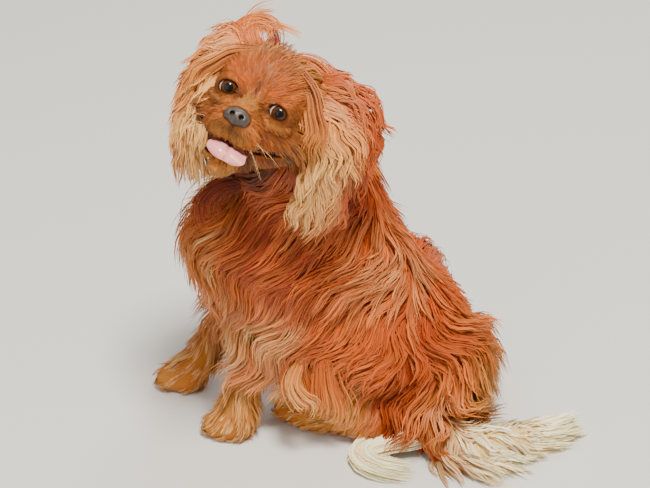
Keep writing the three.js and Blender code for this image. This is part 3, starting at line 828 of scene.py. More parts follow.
def make_eye(side, name):
    rings, sectors = 72, 64
    angle = np.repeat(np.linspace(0.004, math.pi - 0.004, rings), sectors)
    turn = np.tile(np.linspace(0, math.tau, sectors, endpoint=False), rings)
    third = unit(np.cross(GAZE, UP))
    other = np.cross(GAZE, third)
    way = (np.cos(angle)[:, None] * GAZE
           + (np.sin(angle) * np.cos(turn))[:, None] * third
           + (np.sin(angle) * np.sin(turn))[:, None] * other)
    radius = EYE_RADIUS - 0.15 + 0.5 * np.exp(-((angle / 0.5) ** 4))
    points = in_head(*eye_spot(side)) + way * radius[:, None]
    faces = grid_faces(rings, sectors)[:, [0, 3, 2, 1]]
    fibre = noise(np.stack([np.cos(turn) * 9, np.sin(turn) * 9, angle * 3], 1), 1.0, 31)
    tone = mix(IRIS_LIGHT, IRIS_DARK, 0.5 + 0.5 * fibre)
    tone = mix(tone, IRIS_RIM, ramp(angle, IRIS_EDGE - 0.12, 0.1))
    tone = mix(tone, PUPIL, np.clip((PUPIL_EDGE - angle) / 0.03 + 0.5, 0, 1))
    white = mix(EYE_WHITE, EYE_CORNER, ramp(angle, 0.72, 0.3))
    tone = mix(tone, white, np.clip((angle - IRIS_EDGE) / 0.04 + 0.5, 0, 1))
    uv = np.stack([turn / math.tau, angle / math.pi], 1)[faces.ravel()]
    eye = put_mesh("ball_" + name, points, faces, EYE, uvs=uv, colours=tone)
    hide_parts(name)


# The nose is an egg with wings, two nostrils and a groove.
NOSE_CELL = 0.5


def nose_value(q):
    v = nose_egg(q)
    for side in (1, -1):
        v = smooth_min(v, capsule(q, (68.5, side * 7.0, -17), (66, side * 8.2, -21), 4.6, 3.8), 2)
        v = smooth_max(v, -capsule(q, (80, side * 3.8, -14.2), (71, side * 4.6, -16.2), 2.5, 1.9), 0.8)
        v = smooth_max(v, -capsule(q, (75, side * 5.6, -18.2), (71.5, side * 9.6, -20.4), 1.0, 0.7), 0.6)
    return smooth_max(v, -capsule(q, (77.2, 0, -15.5), (70, 0, -28), 1.0, 0.9), 1.0)


def make_nose():
    lines = [whole_cells(np.arange(a, b, NOSE_CELL)) for a, b in ((55, 79), (-15, 15.5), (-30, -5))]
    q, faces = surface(nose_value, lines)
    tone = mix(LEATHER_LIGHT, LEATHER_DARK, 0.5 + 0.5 * noise(q, 3, 15))
    for side in (1, -1):
        hole = capsule(q, (80, side * 3.8, -14.2), (71, side * 4.6, -16.2), 2.4, 1.9)
        # The insides of the nostrils are painted near black, as shade deep in the holes.
        tone = mix(tone, NOSTRIL_SHADE, ramp(-hole, -0.5, 0.8) * ramp(-q[:, 0], -75.2, 1.2))
    uv = (q[:, 1:] / 40 + 0.5)[faces.ravel()]
    nose = put_mesh("nose_leather", from_head(q), faces, LEATHER, uvs=uv, colours=tone)
    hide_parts("nose")


def smooth_line(knots, t):
    """A curve through the knots, at each t from 0 to 1."""
    knots = np.array(knots, float)
    ends = np.concatenate([2 * knots[:1] - knots[1:2], knots, 2 * knots[-1:] - knots[-2:-1]])
    at = np.clip(t, 0, 1) * (len(knots) - 1)
    i = np.minimum(at.astype(int), len(knots) - 2)
    f = (at - i)[:, None]
    a, b, c, d = ends[i], ends[i + 1], ends[i + 2], ends[i + 3]
    return 0.5 * (2 * b + (c - a) * f + (2 * a - 5 * b + 4 * c - d) * f**2 + (3 * b - a - 3 * c + d) * f**3)


# The tongue lies over the lower lip, grooved down the middle and curled at its left edge.
TONGUE_LINE = (
    (22, 2, -43),
    (38, 3, -43.5),
    (50, 3, -43),
    (59, 3.5, -44.5),
    (63.5, 4.5, -49),
    (64.5, 5.5, -55.5),
)
TONGUE_TIP = 0.8


def make_tongue():
    t, turn, faces = flat_tube(48, 24)
    s = np.cos(turn)
    upper = np.sin(turn) > 0
    middle = smooth_line(TONGUE_LINE, t)
    along = unit(smooth_line(TONGUE_LINE, t + 0.02) - smooth_line(TONGUE_LINE, t - 0.02))
    out = unit(np.stack([-along[:, 2], 0 * t, along[:, 0]], 1))
    rounded = np.sqrt(np.clip(1 - ((t - TONGUE_TIP) / 0.22) ** 2, 0.03, 1))
    half = 13 + 5.5 * np.sin(np.minimum(t, TONGUE_TIP) * 1.9)
    half = np.where(t < TONGUE_TIP, half, half * rounded)
    thick = 1.3 * np.sqrt(np.clip(1 - s**2, 0, 1)) * np.sign(np.sin(turn)) * np.where(t > 0.97, 0.6, 1)
    crease = np.exp(-((s / 0.07) ** 2)) * upper
    lobes = 0.7 * np.exp(-((np.abs(s) - 0.35) / 0.3) ** 2)
    curl = 1.6 * np.clip(s, 0, 1) ** 3 * np.sin(t * 16) * t
    lift = thick - 0.9 * crease + lobes + curl - 1.3 * s**4
    q = middle + out * lift[:, None]
    q[:, 1] += s * half
    q[:, 2] -= 0.5 * np.clip(np.abs(s) - 0.1, 0, 0.5) * ramp(t, TONGUE_TIP, 0.2)
    # The groove is painted a darker pink, and the tongue darker towards the back of the mouth: painted
    # shade.
    tone = mix(PINK, TONGUE_GROOVE_SHADE, crease * 0.8)
    tone = mix(tone, TONGUE_MOUTH_SHADE, ramp(-t, -0.35, 0.3))
    uv = np.stack([s * 0.4 + 0.5, t], 1)[faces.ravel()]
    tongue = put_mesh("tongue_flesh", from_head(q), faces, TONGUE, uvs=uv, colours=tone)
    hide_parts("tongue")


# Hair is grown as guides, each with a bundle of locks and strands round it.
PIECE_TRIANGLES = 195000
TUFT_PATCH = 0.003
BODY_SPACING = 8.6
FACE_SPACING = 2.5
CROWN_SPACING = 5.0
GUIDE_FLOOR = 3.0
HAIR_FLOOR = 2.0


def grow(roots, facing, length, steps, way, rise, cling):
    """Walks from each root the way that way() gives, at a rising height over the skin."""
    p = roots.copy()
    n = facing.copy()
    path = [p.copy()]
    normals = [n.copy()]
    for k in range(1, steps + 1):
        t = k / steps
        p = p + unit(way(p, n, t)) * (length / steps)[:, None]
        p[:, 2] = np.maximum(p[:, 2], GUIDE_FLOOR)
        n = skin_slope(p)
        short = rise * t**0.75 - in_parts(skin_value, p)
        p = p + n * np.where(short > 0, short, short * cling)[:, None]
        path.append(p.copy())
        normals.append(n.copy())
    return np.stack(path, 1), np.stack(normals, 1)


def trail(roots, way, pull, length, steps):
    """Free hair starts one way and is pulled another way as it goes."""
    p = roots.copy()
    heading = unit(way)
    path = [p.copy()]
    for _ in range(steps):
        p = p + heading * (length / steps)[:, None]
        path.append(p.copy())
        heading = unit(heading + pull / steps)
    return np.stack(path, 1)


def wave(path, across, size, turns, phase):
    """Adds a sideways wave that grows from the root."""
    t = np.linspace(0, 1, path.shape[1])[None]
    swing = np.sin(phase[:, None] + t * turns[:, None] * math.tau) - np.sin(phase)[:, None]
    return path + across[:, None] * (swing * size[:, None] * np.minimum(1, t * 1.6))[..., None]


def spread_roots(points, faces, spacing, keep):
    """Roots spread evenly over a surface, one in each small cell."""
    tri = np.concatenate([faces[:, [0, 1, 2]], faces[:, [0, 2, 3]]])
    a, b, c = points[tri[:, 0]], points[tri[:, 1]], points[tri[:, 2]]
    area = np.linalg.norm(np.cross(b - a, c - a), axis=1) / 2
    tries = int(area.sum() / spacing**2 * 5)
    pick = rng.choice(len(tri), tries, p=area / area.sum())
    u, v = rng.random(tries), rng.random(tries)
    flip = u + v > 1
    u[flip], v[flip] = 1 - u[flip], 1 - v[flip]
    p = a[pick] + (b - a)[pick] * u[:, None] + (c - a)[pick] * v[:, None]
    p = p[keep(p)]
    _, first = np.unique(np.floor(p / (spacing * 1.18)).astype(np.int64), axis=0, return_index=True)
    return p[first]


def shorter(path, scale):
    """The first part of each path, at the same number of points."""
    n, steps = path.shape[:2]
    at = np.linspace(0, 1, steps)[None] * scale[:, None] * (steps - 1)
    i = np.minimum(at.astype(int), steps - 2)
    f = (at - i)[..., None]
    rows = np.arange(n)[:, None]
    return path[rows, i] * (1 - f) + path[rows, i + 1] * f


def bundle(guides, normals, count, radius, gather, stray, sink=0.0, cut=0.25):
    """Paths round each guide: apart at the root, closer together at the tip."""
    n, steps = guides.shape[:2]
    facing = normals[:, 0]
    side = unit(np.cross(facing, rng.normal(size=(n, 3))))
    other = np.cross(facing, side)
    turn = rng.random((n, count)) * math.tau
    out = np.sqrt(rng.random((n, count))) * radius[:, None]
    off = side[:, None] * (np.cos(turn) * out)[..., None]
    off = off + other[:, None] * (np.sin(turn) * out)[..., None]
    t = np.linspace(0, 1, steps)
    keep = 1 - gather * t**1.2
    path = guides[:, None] + off[:, :, None] * keep[None, None, :, None]
    drift = rng.normal(size=(n, count, 3)) * stray
    path = path + drift[:, :, None] * (t**1.5)[None, None, :, None]
    depth = np.broadcast_to(sink, n)[:, None] * rng.random((n, count))
    path = path - normals[:, None] * depth[..., None, None] * (t**0.7)[None, None, :, None]
    path[..., 2] = np.maximum(path[..., 2], HAIR_FLOOR)
    path = shorter(path.reshape(n * count, steps, 3), 1 - cut * rng.random(n * count))
    return path, np.repeat(normals, count, 0)


def strands(name, path, normals, width, root_tone, tip_tone, material, uv, slot="coat", flat=0.42):
    """Three-sided tapered locks as joined meshes, shaded partly as the coat's own surface."""
    n, steps = path.shape[:2]
    t = np.linspace(0, 1, steps)
    along = unit(np.gradient(path, axis=1))
    side = unit(np.cross(along, normals + 1e-6))
    up = np.cross(side, along)
    girth = (width[:, None] * (0.6 + 1.3 * t - 1.75 * t**2)[None])[..., None]
    left, top, right = path + side * girth * 0.5, path + up * girth * flat, path - side * girth * 0.5
    ring = np.stack([left, top, right, left, right], 2)
    over = 0.3 * up + normals * 1.1
    lean = np.stack([over + 0.5 * side, over, over - 0.5 * side, 0.6 * side - up, -0.6 * side - up], 2)
    rings = (steps - 1) * 5
    points = np.concatenate([ring[:, :-1].reshape(n, rings, 3), path[:, -1:], path[:, -1:]], 1)
    shades = np.concatenate([unit(lean[:, :-1]).reshape(n, rings, 3), normals[:, -1:], -normals[:, -1:]], 1)
    per = points.shape[1]
    faces = []
    for k in range(0, rings - 5, 5):
        for a, b in ((k, k + 1), (k + 1, k + 2), (k + 4, k + 3)):
            faces += [(a, b + 5, b), (a, a + 5, b + 5)]
    faces += [(k + 6, k + 5, rings), (k + 7, k + 6, rings), (k + 8, k + 9, rings + 1), (0, 1, 2)]
    faces = np.array(faces)
    down = np.concatenate([np.repeat(t[:-1], 5), (1.0, 1.0)])
    across = np.concatenate([np.tile((0.0, 0.5, 1.0, 0.0, 1.0), steps - 1), (0.5, 0.5)])
    patch = np.stack([across - 0.5, down - 0.5], 1) * TUFT_PATCH
    each = PIECE_TRIANGLES // len(faces)
    for number, start in enumerate(range(0, n, each)):
        part = slice(start, min(n, start + each))
        m = part.stop - part.start
        f = (faces[None] + (np.arange(m) * per)[:, None, None]).reshape(-1, 3)
        corner = np.tile(faces.ravel(), m)
        owner = np.repeat(np.arange(m), faces.size)
        tone = mix(root_tone[part, None], tip_tone[part, None], np.broadcast_to(down, (m, per)))
        lane = np.stack([across[corner] * width[part][owner] * 0.25 + owner * 1.37 % 91, down[corner]], 1)
        piece = put_mesh(
            f"{name}_{number}", points[part].reshape(-1, 3), f, material,
            uvs=uv[part][owner] + patch[corner], strand=lane, colours=tone.reshape(-1, 3),
            normals=shades[part].reshape(-1, 3))


def varied(tone, each, clump, single):
    """One colour for each strand, varied by bundle and by strand."""
    by_clump = 1 + clump * rng.normal(size=(len(tone), 1))
    out = np.repeat(tone * by_clump, each, 0)
    return np.clip(out * (1 + single * rng.normal(size=(len(out), 1))), 0.003, 0.95)


def lay_hair(name, guides, normals, shape, width, root, tip, uv, material=COAT, sink=0.0, **look):
    """Bundles of strands round guides. A tone comes with how far bundles and strands vary."""
    each, radius, gather, stray = shape
    count = len(guides)
    radius = np.broadcast_to(radius, count)
    hair, hair_normals = bundle(guides, normals, each, radius, gather, stray, sink)
    root_tone = varied(root[0], each, *root[1:])
    tip_tone = varied(tip[0], each, *tip[1:])
    width = np.repeat(np.broadcast_to(width, count), each)
    uv = np.repeat(uv, each, 0)
    strands(name, hair, hair_normals, width, root_tone, tip_tone, material, uv, **look)


# The way the coat lies: one direction for each bone, and combed places on the trunk.
def combed():
    ways = []
    for name, group in BODY.items():
        for b in group:
            line = unit(b[3:6] - b[:3])
            if name == "trunk":
                ways.append(unit(-0.3 * line + (0, -0.35, -0.85)))
            elif name == "nape":
                ways.append(unit(-line + (0, -0.2, -0.6)))
            else:
                ways.append(unit(line + (0, 0.1, -0.15)))
    return np.array(ways)


BONE_WAYS = combed()
COMB_REACH = 40.0
# Places in the dog's frame, and the way the hair lies there.
COMB = (
    ((-60, 50, 228), (0, 0.6, -0.75)),
    ((-60, 72, 178), (0, 0.5, -0.85)),
    ((-20, 36, 215), (0.3, -0.95, -0.25)),
    ((-4, -6, 225), (0.1, -0.95, -0.25)),
    ((4, -48, 222), (0, -0.9, -0.4)),
    ((4, -86, 190), (0, -0.3, -0.95)),
    ((-8, 50, 165), (0.2, -0.95, -0.3)),
    ((2, 4, 165), (0.1, -0.9, -0.4)),
    ((8, -50, 152), (0, -0.9, -0.4)),
    ((-6, 88, 125), (0.1, 0.1, -1)),
    ((36, 24, 118), (0, -0.3, -0.95)),
    ((36, -26, 102), (0, -0.5, -0.87)),
    ((10, 108, 100), (0, 0.35, -0.9)),
    ((-10, 134, 92), (0, 0.6, -0.8)),
    ((44, 52, 78), (0, -0.7, -0.7)),
    ((8, -94, 287), (0.1, -0.9, -0.4)),
    ((-30, -140, 228), (0, -0.3, -0.95)),
    ((-30, -144, 160), (0.1, 0.35, -0.95)),
)
COMB_PLACES = np.array([place for place, _ in COMB], float)
COMB_WAYS = unit([way for _, way in COMB])


def lie(p, n):
    d = in_parts(lambda part: bone_distance(part, BODY_BONES), p)
    w = np.exp(-(d - d.min(1, keepdims=True)) / 12)
    way = unit(w @ BONE_WAYS)
    back = np.maximum(0, n[:, 1]) * np.where(p[:, 2] > 90, 1.0, 0.3)
    way = way + BACK * 0.9 * back[:, None]
    far = ((p[:, None] - COMB_PLACES) ** 2).sum(2)
    pull = np.exp(-far / COMB_REACH**2)
    way = way * 0.2 + pull @ COMB_WAYS * 1.6
    return unit(way - n * (way * n).sum(1, keepdims=True))


WAVE_LENGTH = 62.0


def body_way(roots, length, swing):
    """Neighbouring hair waves together, as the phase depends on the root's place."""
    start = roots @ unit([0, 0.45, 0.9]) / WAVE_LENGTH * math.tau
    phase = -start + noise(roots, 55, 11) * 2.6 + noise(roots, 22, 13) * 0.9
    phase = phase + rng.normal(size=len(roots)) * 0.18

    def way(p, n, t):
        d = lie(p, n)
        side = np.cross(n, d)
        bend = swing * np.sin(phase + t * length / WAVE_LENGTH * math.tau)
        return d + side * bend[:, None] + DOWN * 0.1 * t
    return way


# Locks to a guide, width, sink into the coat, gather at the tip, and stray.
COAT_LAYERS = {"under": (2, 4.2, 0.6, 0.35, 1.5), "coat": (5, 1.5, 0.25, 0.5, 1.7)}


def make_body_coat(points, faces):
    roots = spread_roots(points, faces, BODY_SPACING, lambda p: ~on_head(p) & (p[:, 2] > 4))
    facing = skin_slope(roots)
    x, y, z = roots.T
    group = BONE_GROUP[nearest_bone(roots)]
    low_leg = (np.char.find(group, "leg") >= 0) & (z < 105)
    foot = low_leg & (z < 36)
    breech = (y > 70) & (z < 130) & ~low_leg & (group != "tail")
    length = np.full(len(roots), 66.0)
    rise = np.full(len(roots), 17.0)
    swing = np.full(len(roots), 0.55)
    # Where, length, rise over the skin, and swing from side to side.
    regions = (
        ((y < -70) & (z > 110) & ~low_leg, 78, 28, 0.8),
        (breech, 66, 38, 1.2),
        (low_leg, 28, 8, 0.35),
        (foot, 12, 3.8, 0.2),
        (group == "tail", 40, 12, 0.55),
    )
    for part, *values in regions:
        length[part], rise[part], swing[part] = values
    swing[(z < 140) & ~low_leg & ~breech] = 0.95
    far = (x < -60) & (z > 100) & (y > 20)
    length[far], rise[far], swing[far] = 58, 12, 0.6
    length *= rng.uniform(0.85, 1.15, len(roots))
    way = body_way(roots, length, swing)
    height = rise * rng.uniform(0.75, 1.1, len(roots))
    guides, normals = grow(roots - facing * 1.5, facing, length, 7, way, height, 0.6)
    root_tone, tip_tone = coat_colour(roots)
    uv = root_uvs(roots)
    size = np.where(foot, 0.42, np.where(low_leg, 0.6, 1.0))
    for name, (each, wide, sink, gather, stray) in COAT_LAYERS.items():
        shape = (each, 7.5 * size, gather, stray * size.mean())
        lay_hair(name, guides, normals, shape, wide * size, (root_tone, 0.1, 0.1),
                 (tip_tone, 0.14, 0.14), uv, sink=sink * rise)


# The face's short fur runs back from the nose, and is left off the lids, lips and leather.
def face_way(p, n, t):
    away = unit(to_head(p) - MUZZLE_TIP)
    way = away @ HEAD_AXES + DOWN * 0.2
    return way - n * (way * n).sum(1, keepdims=True) * 0.9


def furry_face(p):
    q = to_head(p)
    free = on_head(p) & (q[:, 0] > 6) & (mouth_gap(q) > 1.6) & (nose_value(q) > 1.0)
    for side in (1, -1):
        gap, ahead = lid_gap(q, side)
        free &= (gap > 1.8) | (ahead < 0) | (eye_distance(q, side) > EYE_RADIUS + 6)
    return free


def make_face_coat(points, faces):
    roots = spread_roots(points, faces, FACE_SPACING, furry_face)
    facing = skin_slope(roots)
    q = to_head(roots)
    length = 5.5 + 0.17 * np.maximum(0, 56 - q[:, 0]) + 0.07 * np.maximum(0, 26 - q[:, 0]) ** 1.25
    length += 4 * ramp(-q[:, 2], 58, 8)
    length = np.clip(length, 4.5, 26) * rng.uniform(0.8, 1.2, len(roots))
    for side in (1, -1):
        length *= 1 - 0.45 * np.exp(-((eye_distance(q, side) - EYE_RADIUS) / 6) ** 2)
    height = 0.7 + length * 0.12
    guides, normals = grow(roots - facing * 0.8, facing, length, 3, face_way, height, 0.8)
    tone = face_colour(roots)
    tip = mix(tone, GOLD, np.full(len(tone), 0.12))
    width = np.clip(0.5 + length * 0.03, 0.6, 1.3)
    # The roots are painted darker than the tips, as shade deep in the fur.
    lay_hair("face", guides, normals, (2, 1.6, 0.25, 0.4), width, (tone * 0.78, 0.1, 0.14),
             (tip, 0.16, 0.2), root_uvs(roots), FACE_HAIR, flat=0.35)


# Longer hair stands off the skull's sides and top, and falls over the roots of the ears.
def make_crown_hair(points, faces):
    def keep(p):
        f, _, u = to_head(p).T
        return on_head(p) & (f > -30) & ((f < 22) | (u > 26)) & (u > -30)
    roots = spread_roots(points, faces, CROWN_SPACING, keep)
    facing = skin_slope(roots)
    q = to_head(roots)
    back = ramp(-q[:, 0], -34, 26)
    length = (12 + 24 * back) * rng.uniform(0.75, 1.2, len(roots))
    way = unit(face_way(roots, facing, 0)) + facing * (0.12 + 0.16 * rng.random(len(roots)))[:, None]
    outward = unit(np.stack([0 * back, q[:, 1], q[:, 2] - 6], 1)) @ HEAD_AXES
    pull = outward * 0.35 + DOWN * 0.75
    guides = trail(roots - facing, way, pull, length, 6)
    across = unit(np.cross(guides[:, -1] - guides[:, 0], facing))
    guides = wave(guides, across, 2.0 * back, np.full(len(roots), 0.8), noise(roots, 20, 31) * 6)
    normals = np.repeat(facing[:, None], guides.shape[1], 1)
    tone = face_colour(roots)
    tip = mix(tone, GOLD, np.full(len(tone), 0.3))
    # The roots are painted darker than the tips, as shade deep in the fur.
    lay_hair("crown", guides, normals, (5, 3.4, 0.4, 1.2), 1.1, (tone * 0.72, 0.1, 0.14),
             (tip, 0.14, 0.2), root_uvs(roots))


def make_whiskers():
    count = 4
    for name, side in (("whiskers_left", 1), ("whiskers_right", -1)):
        f = rng.uniform(56, 64, count)
        u = rng.uniform(-37, -28, count)
        roots = np.stack([in_head(a, side * 19, b) for a, b in zip(f, u)])
        ahead = rng.uniform(0.3, 0.9, count)
        rising = rng.uniform(-0.7, 0.2, count)
        way = np.stack([ahead, side * np.ones(count), rising], 1)
        path = trail(roots, way @ HEAD_AXES, DOWN * 1.1, rng.uniform(24, 46, count), 8)
        normals = np.tile(HEAD_AXES[0], (count, path.shape[1], 1))
        tone = np.tile(PALE_GOLD, (count, 1))
        strands(name, path, normals, np.full(count, 0.2), tone, tone, FACE_HAIR, root_uvs(roots),
                slot="coat_pale")


# Each ear is a cupped flap that hangs from the skull, feathered with long wavy hair.
FALLS = {
    "ear_left": (
        (-8, 22, 35),
        (-8, 42, 38),
        (-11, 64, 29),
        (-17, 77, 10),
        (-27, 82, -12),
        (-36, 82, -36),
        (-43, 80, -54),
    ),
    "ear_right": (
        (-8, 20, 35),
        (-4, 34, 33),
        (0, 45, 20),
        (2, 50, -2),
        (0, 52, -26),
        (-6, 49, -46),
        (-12, 42, -62),
    ),
}
EAR_GUIDES = 340
EAR_STEPS = 9


class Ear:
    """One ear's flap, with its places, chart and colours."""

    def __init__(self, name):
        self.side = 1 if name == "ear_left" else -1
        self.fall = [in_head(f, self.side * l, u) for f, l, u in FALLS[name]]
        self.out = unit(np.array([0.74, self.side * 0.66, 0.1]) @ HEAD_AXES)
        self.chart = chart_box(name)

    def frame(self, t):
        down = unit(smooth_line(self.fall, t + 0.02) - smooth_line(self.fall, t - 0.02))
        across = unit(np.cross(self.out, down))
        return down, across, np.cross(down, across)

    def wide(self, t):
        return 24 + 122 * t * (1 - t) + 10 * t

    def at(self, t, s, lift):
        """A place on the flap: t down it, s across it from -1 to 1, lifted off it."""
        _, across, out = self.frame(t)
        half = self.wide(t) / 2
        return (smooth_line(self.fall, t) + across * (half * s)[:, None]
                + out * (lift - 0.32 * half * s**2)[:, None])

    def uv(self, t, s):
        x, y, wide, tall = self.chart
        return np.stack([x + (s * 0.48 + 0.5) * wide, y + np.clip(t, 0, 1) * tall], 1)

    def tones(self, t, s):
        """Golden at the edge nearer the face and at the ends, darker red at the back."""
        p = self.at(t, s, np.zeros(len(t)))
        front = np.clip(0.45 - s * self.side * 0.9 + 0.35 * noise(p, 13, 21), 0, 1)
        if self.side < 0:
            front = np.clip(front + 0.35, 0, 1)
        low = ramp(t, 0.05, 0.4)
        root = mix(mix(CHESTNUT, ORANGE, 0.3 + 0.5 * noise(p, 20, 22)), mix(TAN, GOLD, 0.6), front * low)
        root = mix(root, CHESTNUT, (1 - front) * 0.8) * 0.92
        pale = mix(GOLD, PALE_GOLD, 0.55)
        tip = mix(mix(CHESTNUT, GOLD, 0.15 + 0.75 * front), pale, front * (0.2 + 0.8 * low))
        return root, tip


def make_ear(name):
    ear = Ear(name)
    t, turn, faces = flat_tube(40, 26)
    s = np.cos(turn)
    thin = np.sqrt(np.maximum(0.02, 1 - np.clip(np.abs(t - 0.5) - 0.38, 0, 1) * 8))
    points = ear.at(t, s * 0.9, np.sin(turn) * 3.0 * thin)
    uv = ear.uv(t, s)[faces.ravel()]
    flap = put_mesh(name + "_flap", points, faces, SKIN, uvs=uv, colours=ear.tones(t, s)[0])
    count = EAR_GUIDES
    t = rng.random(count) ** 0.95 * 0.98
    s = rng.uniform(-1, 1, count)
    down, across, out = ear.frame(t)
    side = np.where(rng.random(count) < 0.75, 1.0, -1.0)
    roots = ear.at(t, s * 0.92, side * 2.5)
    length = rng.uniform(46, 70, count) * (1 - 0.2 * np.abs(s)) * (1 - 0.25 * t)
    length = length * (0.65 + 0.35 * np.clip(t * 4, 0, 1))
    way = down + across * (s * 0.2)[:, None] + out * (0.25 * side)[:, None]
    path = trail(roots, way, DOWN * 0.75 - out * (0.3 * side)[:, None], length, EAR_STEPS)
    phase = noise(roots, 26, 23) * 4 + s * 1.5 + rng.normal(size=count) * 0.4 + t * 9
    swing = rng.uniform(2.6, 5.2, count)
    path = wave(path, across, swing, length / rng.uniform(32, 42, count), phase)
    swing = rng.uniform(0.8, 2.0, count)
    path = wave(path, out, swing, length / rng.uniform(36, 46, count), phase + 1.3)
    normals = np.repeat((out * side[:, None])[:, None], EAR_STEPS + 1, 1)
    root, tip = ear.tones(t, s)
    for label, each, wide, gather in (("lock", 2, 3.2, 0.45), ("hair", 5, 1.3, 0.55)):
        shape = (each, rng.uniform(3, 5.5, count), gather, 1.6)
        lay_hair(f"{name}_{label}", path, normals, shape, wide, (root, 0.07, 0.08), (tip, 0.08, 0.1),
                 ear.uv(t, s), slot="coat_pale")


# The tail's plume lies on the floor, with one swirl that turns back on itself.
def dock_place(t):
    group = BODY["tail"]
    return smooth_line([group[0][:3]] + [b[3:6] for b in group], t)


PLUME_GUIDES = 330
SWIRL_GUIDES = 60
TAIL_STEPS = 9


def plume():
    count = PLUME_GUIDES
    t = 0.22 + 0.76 * rng.random(count) ** 0.85
    side = rng.uniform(-1, 1, count)
    tangent = unit(dock_place(t + 0.02) - dock_place(t - 0.02))
    aside = unit(np.cross(UP, tangent))
    roots = dock_place(t) + aside * (side * 9)[:, None]
    roots[:, 2] = rng.uniform(6, 21, count) - np.abs(side) * 4
    way = tangent + aside * (side * 0.6 * (1.2 - t))[:, None]
    way[:, 2] = rng.uniform(-0.05, 0.1, count)
    length = rng.uniform(46, 66, count)
    path = trail(roots, way, tangent + DOWN * 0.25, length, TAIL_STEPS)
    phase = noise(roots, 24, 24) * 3 + rng.normal(size=count) * 0.3 + t * 6
    return wave(path, aside, rng.uniform(1.5, 3.5, count), rng.uniform(0.8, 1.3, count), phase), roots, t


SWIRL = ((18, 84, 22), (20, 60, 15), (23, 36, 13), (33, 18, 12), (48, 22, 10), (57, 42, 8), (60, 68, 6))


def swirl():
    count = SWIRL_GUIDES
    off = rng.uniform(-14, 14, count)
    path = np.stack([smooth_line(SWIRL, np.full(count, f)) for f in np.linspace(0, 1, 12)], 1)
    aside = unit(np.cross(UP, unit(np.gradient(path, axis=1))))
    path = path + aside * off[:, None, None]
    path[..., 2] += (rng.uniform(-3, 4, count) - np.abs(off) * 0.2)[:, None]
    return path, path[:, 0], np.full(count, 0.5)


def make_tail():
    for name, (path, roots, t) in {"plume": plume(), "swirl": swirl()}.items():
        path[..., 2] = np.maximum(path[..., 2], GUIDE_FLOOR)
        normals = np.repeat(np.tile(UP, (len(path), 1))[:, None], path.shape[1], 1)
        pale = ramp(t, 0.24, 0.2)
        blend = rng.random(len(t))
        root_tone = mix(mix(MAHOGANY, CHESTNUT, blend), mix(GOLD, CREAM, 0.3 + blend * 0.7), pale)
        tip_tone = mix(mix(TAN, GOLD, blend), mix(PALE_GOLD, CREAM, 0.4 + blend * 0.8), 0.3 + 0.7 * pale)
        uv = root_uvs(roots)
        for label, each, wide in (("lock", 2, 3.4), ("hair", 5, 1.4)):
            shape = (each, rng.uniform(3, 5.5, len(path)), 0.5, 1.5)
            lay_hair(f"{name}_{label}", path, normals, shape, wide, (root_tone, 0.05, 0.07),
                     (tip_tone, 0.05, 0.07), uv, slot="coat_cream")


# Single tufts follow a line of given knots, spread sideways.
TUFT_STEPS = 14
AMBER = (CHESTNUT, ORANGE, GOLD)
PALE = (ORANGE, GOLD, PALE_GOLD)
DARK = (MAHOGANY, DEEP_RED, CHESTNUT)
EAR_FRONT = (DEEP_RED, mix(CHESTNUT, TAN, 0.4), GOLD)


def make_tuft(name, knots, spread, count, tones, facing):
    t = np.linspace(0, 1, TUFT_STEPS)
    path = np.stack([smooth_line(np.array(knots, float), np.full(count, f)) for f in t], 1)
    facing = np.array(facing, float)
    aside = unit(np.cross(unit(np.gradient(path, axis=1)), facing))
    fan = (0.5 + 0.9 * t)[None, :, None]
    path = path + aside * (rng.normal(size=count) * spread)[:, None, None] * fan
    path = path + facing * (rng.normal(size=count) * spread * 0.4)[:, None, None]
    path = path + rng.normal(size=(count, 1, 3)) * spread * 0.35 * (t**1.6)[None, :, None]
    path = shorter(path, 1 - 0.35 * rng.random(count))
    path[..., 2] = np.maximum(path[..., 2], HAIR_FLOOR)
    blend = rng.random(count)
    root, middle, tip = tones
    normals = np.tile(facing, (count, TUFT_STEPS, 1))
    strands(name, path, normals, rng.uniform(0.55, 1.3, count), mix(root, middle, blend),
            mix(middle, tip, blend), COAT, root_uvs(path[:, 0]))


# Name, spread, count, tones, and knots in the head's own frame.
HEAD_TUFTS = (
    ("crown_loop", 2.6, 70, AMBER,
     ((-4, -40, 32), (-4, -52, 46), (-5, -46, 60), (-5, -32, 67), (-5, -20, 65), (-4, -17, 56))),
    ("crown_inner", 2.6, 70, AMBER,
     ((0, -30, 36), (-2, -42, 46), (-4, -40, 56), (-5, -30, 61), (-5, -23, 57), (-4, -24, 50))),
    ("crown_left", 4.0, 80, AMBER,
     ((2, -34, 30), (-2, -48, 42), (-4, -58, 42), (-6, -62, 26), (-4, -60, 8))),
    ("crown_lift", 4.5, 60, AMBER,
     ((4, -20, 40), (-2, -34, 50), (-5, -40, 60), (-6, -34, 70), (-6, -24, 72))),
    ("crown_right", 4.5, 80, AMBER,
     ((2, 6, 44), (-4, 16, 50), (-6, 30, 50), (-6, 44, 42), (-6, 54, 28))),
    ("ear_front_left", 5.0, 150, EAR_FRONT,
     ((20, 18, 38), (20, 37, 27), (19, 47, 12), (12, 56, -1), (8, 55, -15), (0, 62, -28))),
    ("ear_front_right", 5.0, 150, EAR_FRONT,
     ((20, -18, 38), (20, -37, 27), (19, -47, 12), (12, -56, -1), (8, -55, -15), (0, -62, -28))),
    ("crown_crest", 4.0, 50, DARK, ((2, -12, 42), (-2, -14, 52), (-6, -20, 58), (-8, -24, 56))),
    ("crown_flyaway", 2.6, 16, PALE, ((-5, -38, 60), (-6, -22, 66), (-8, -4, 68), (-10, 8, 66))),
)
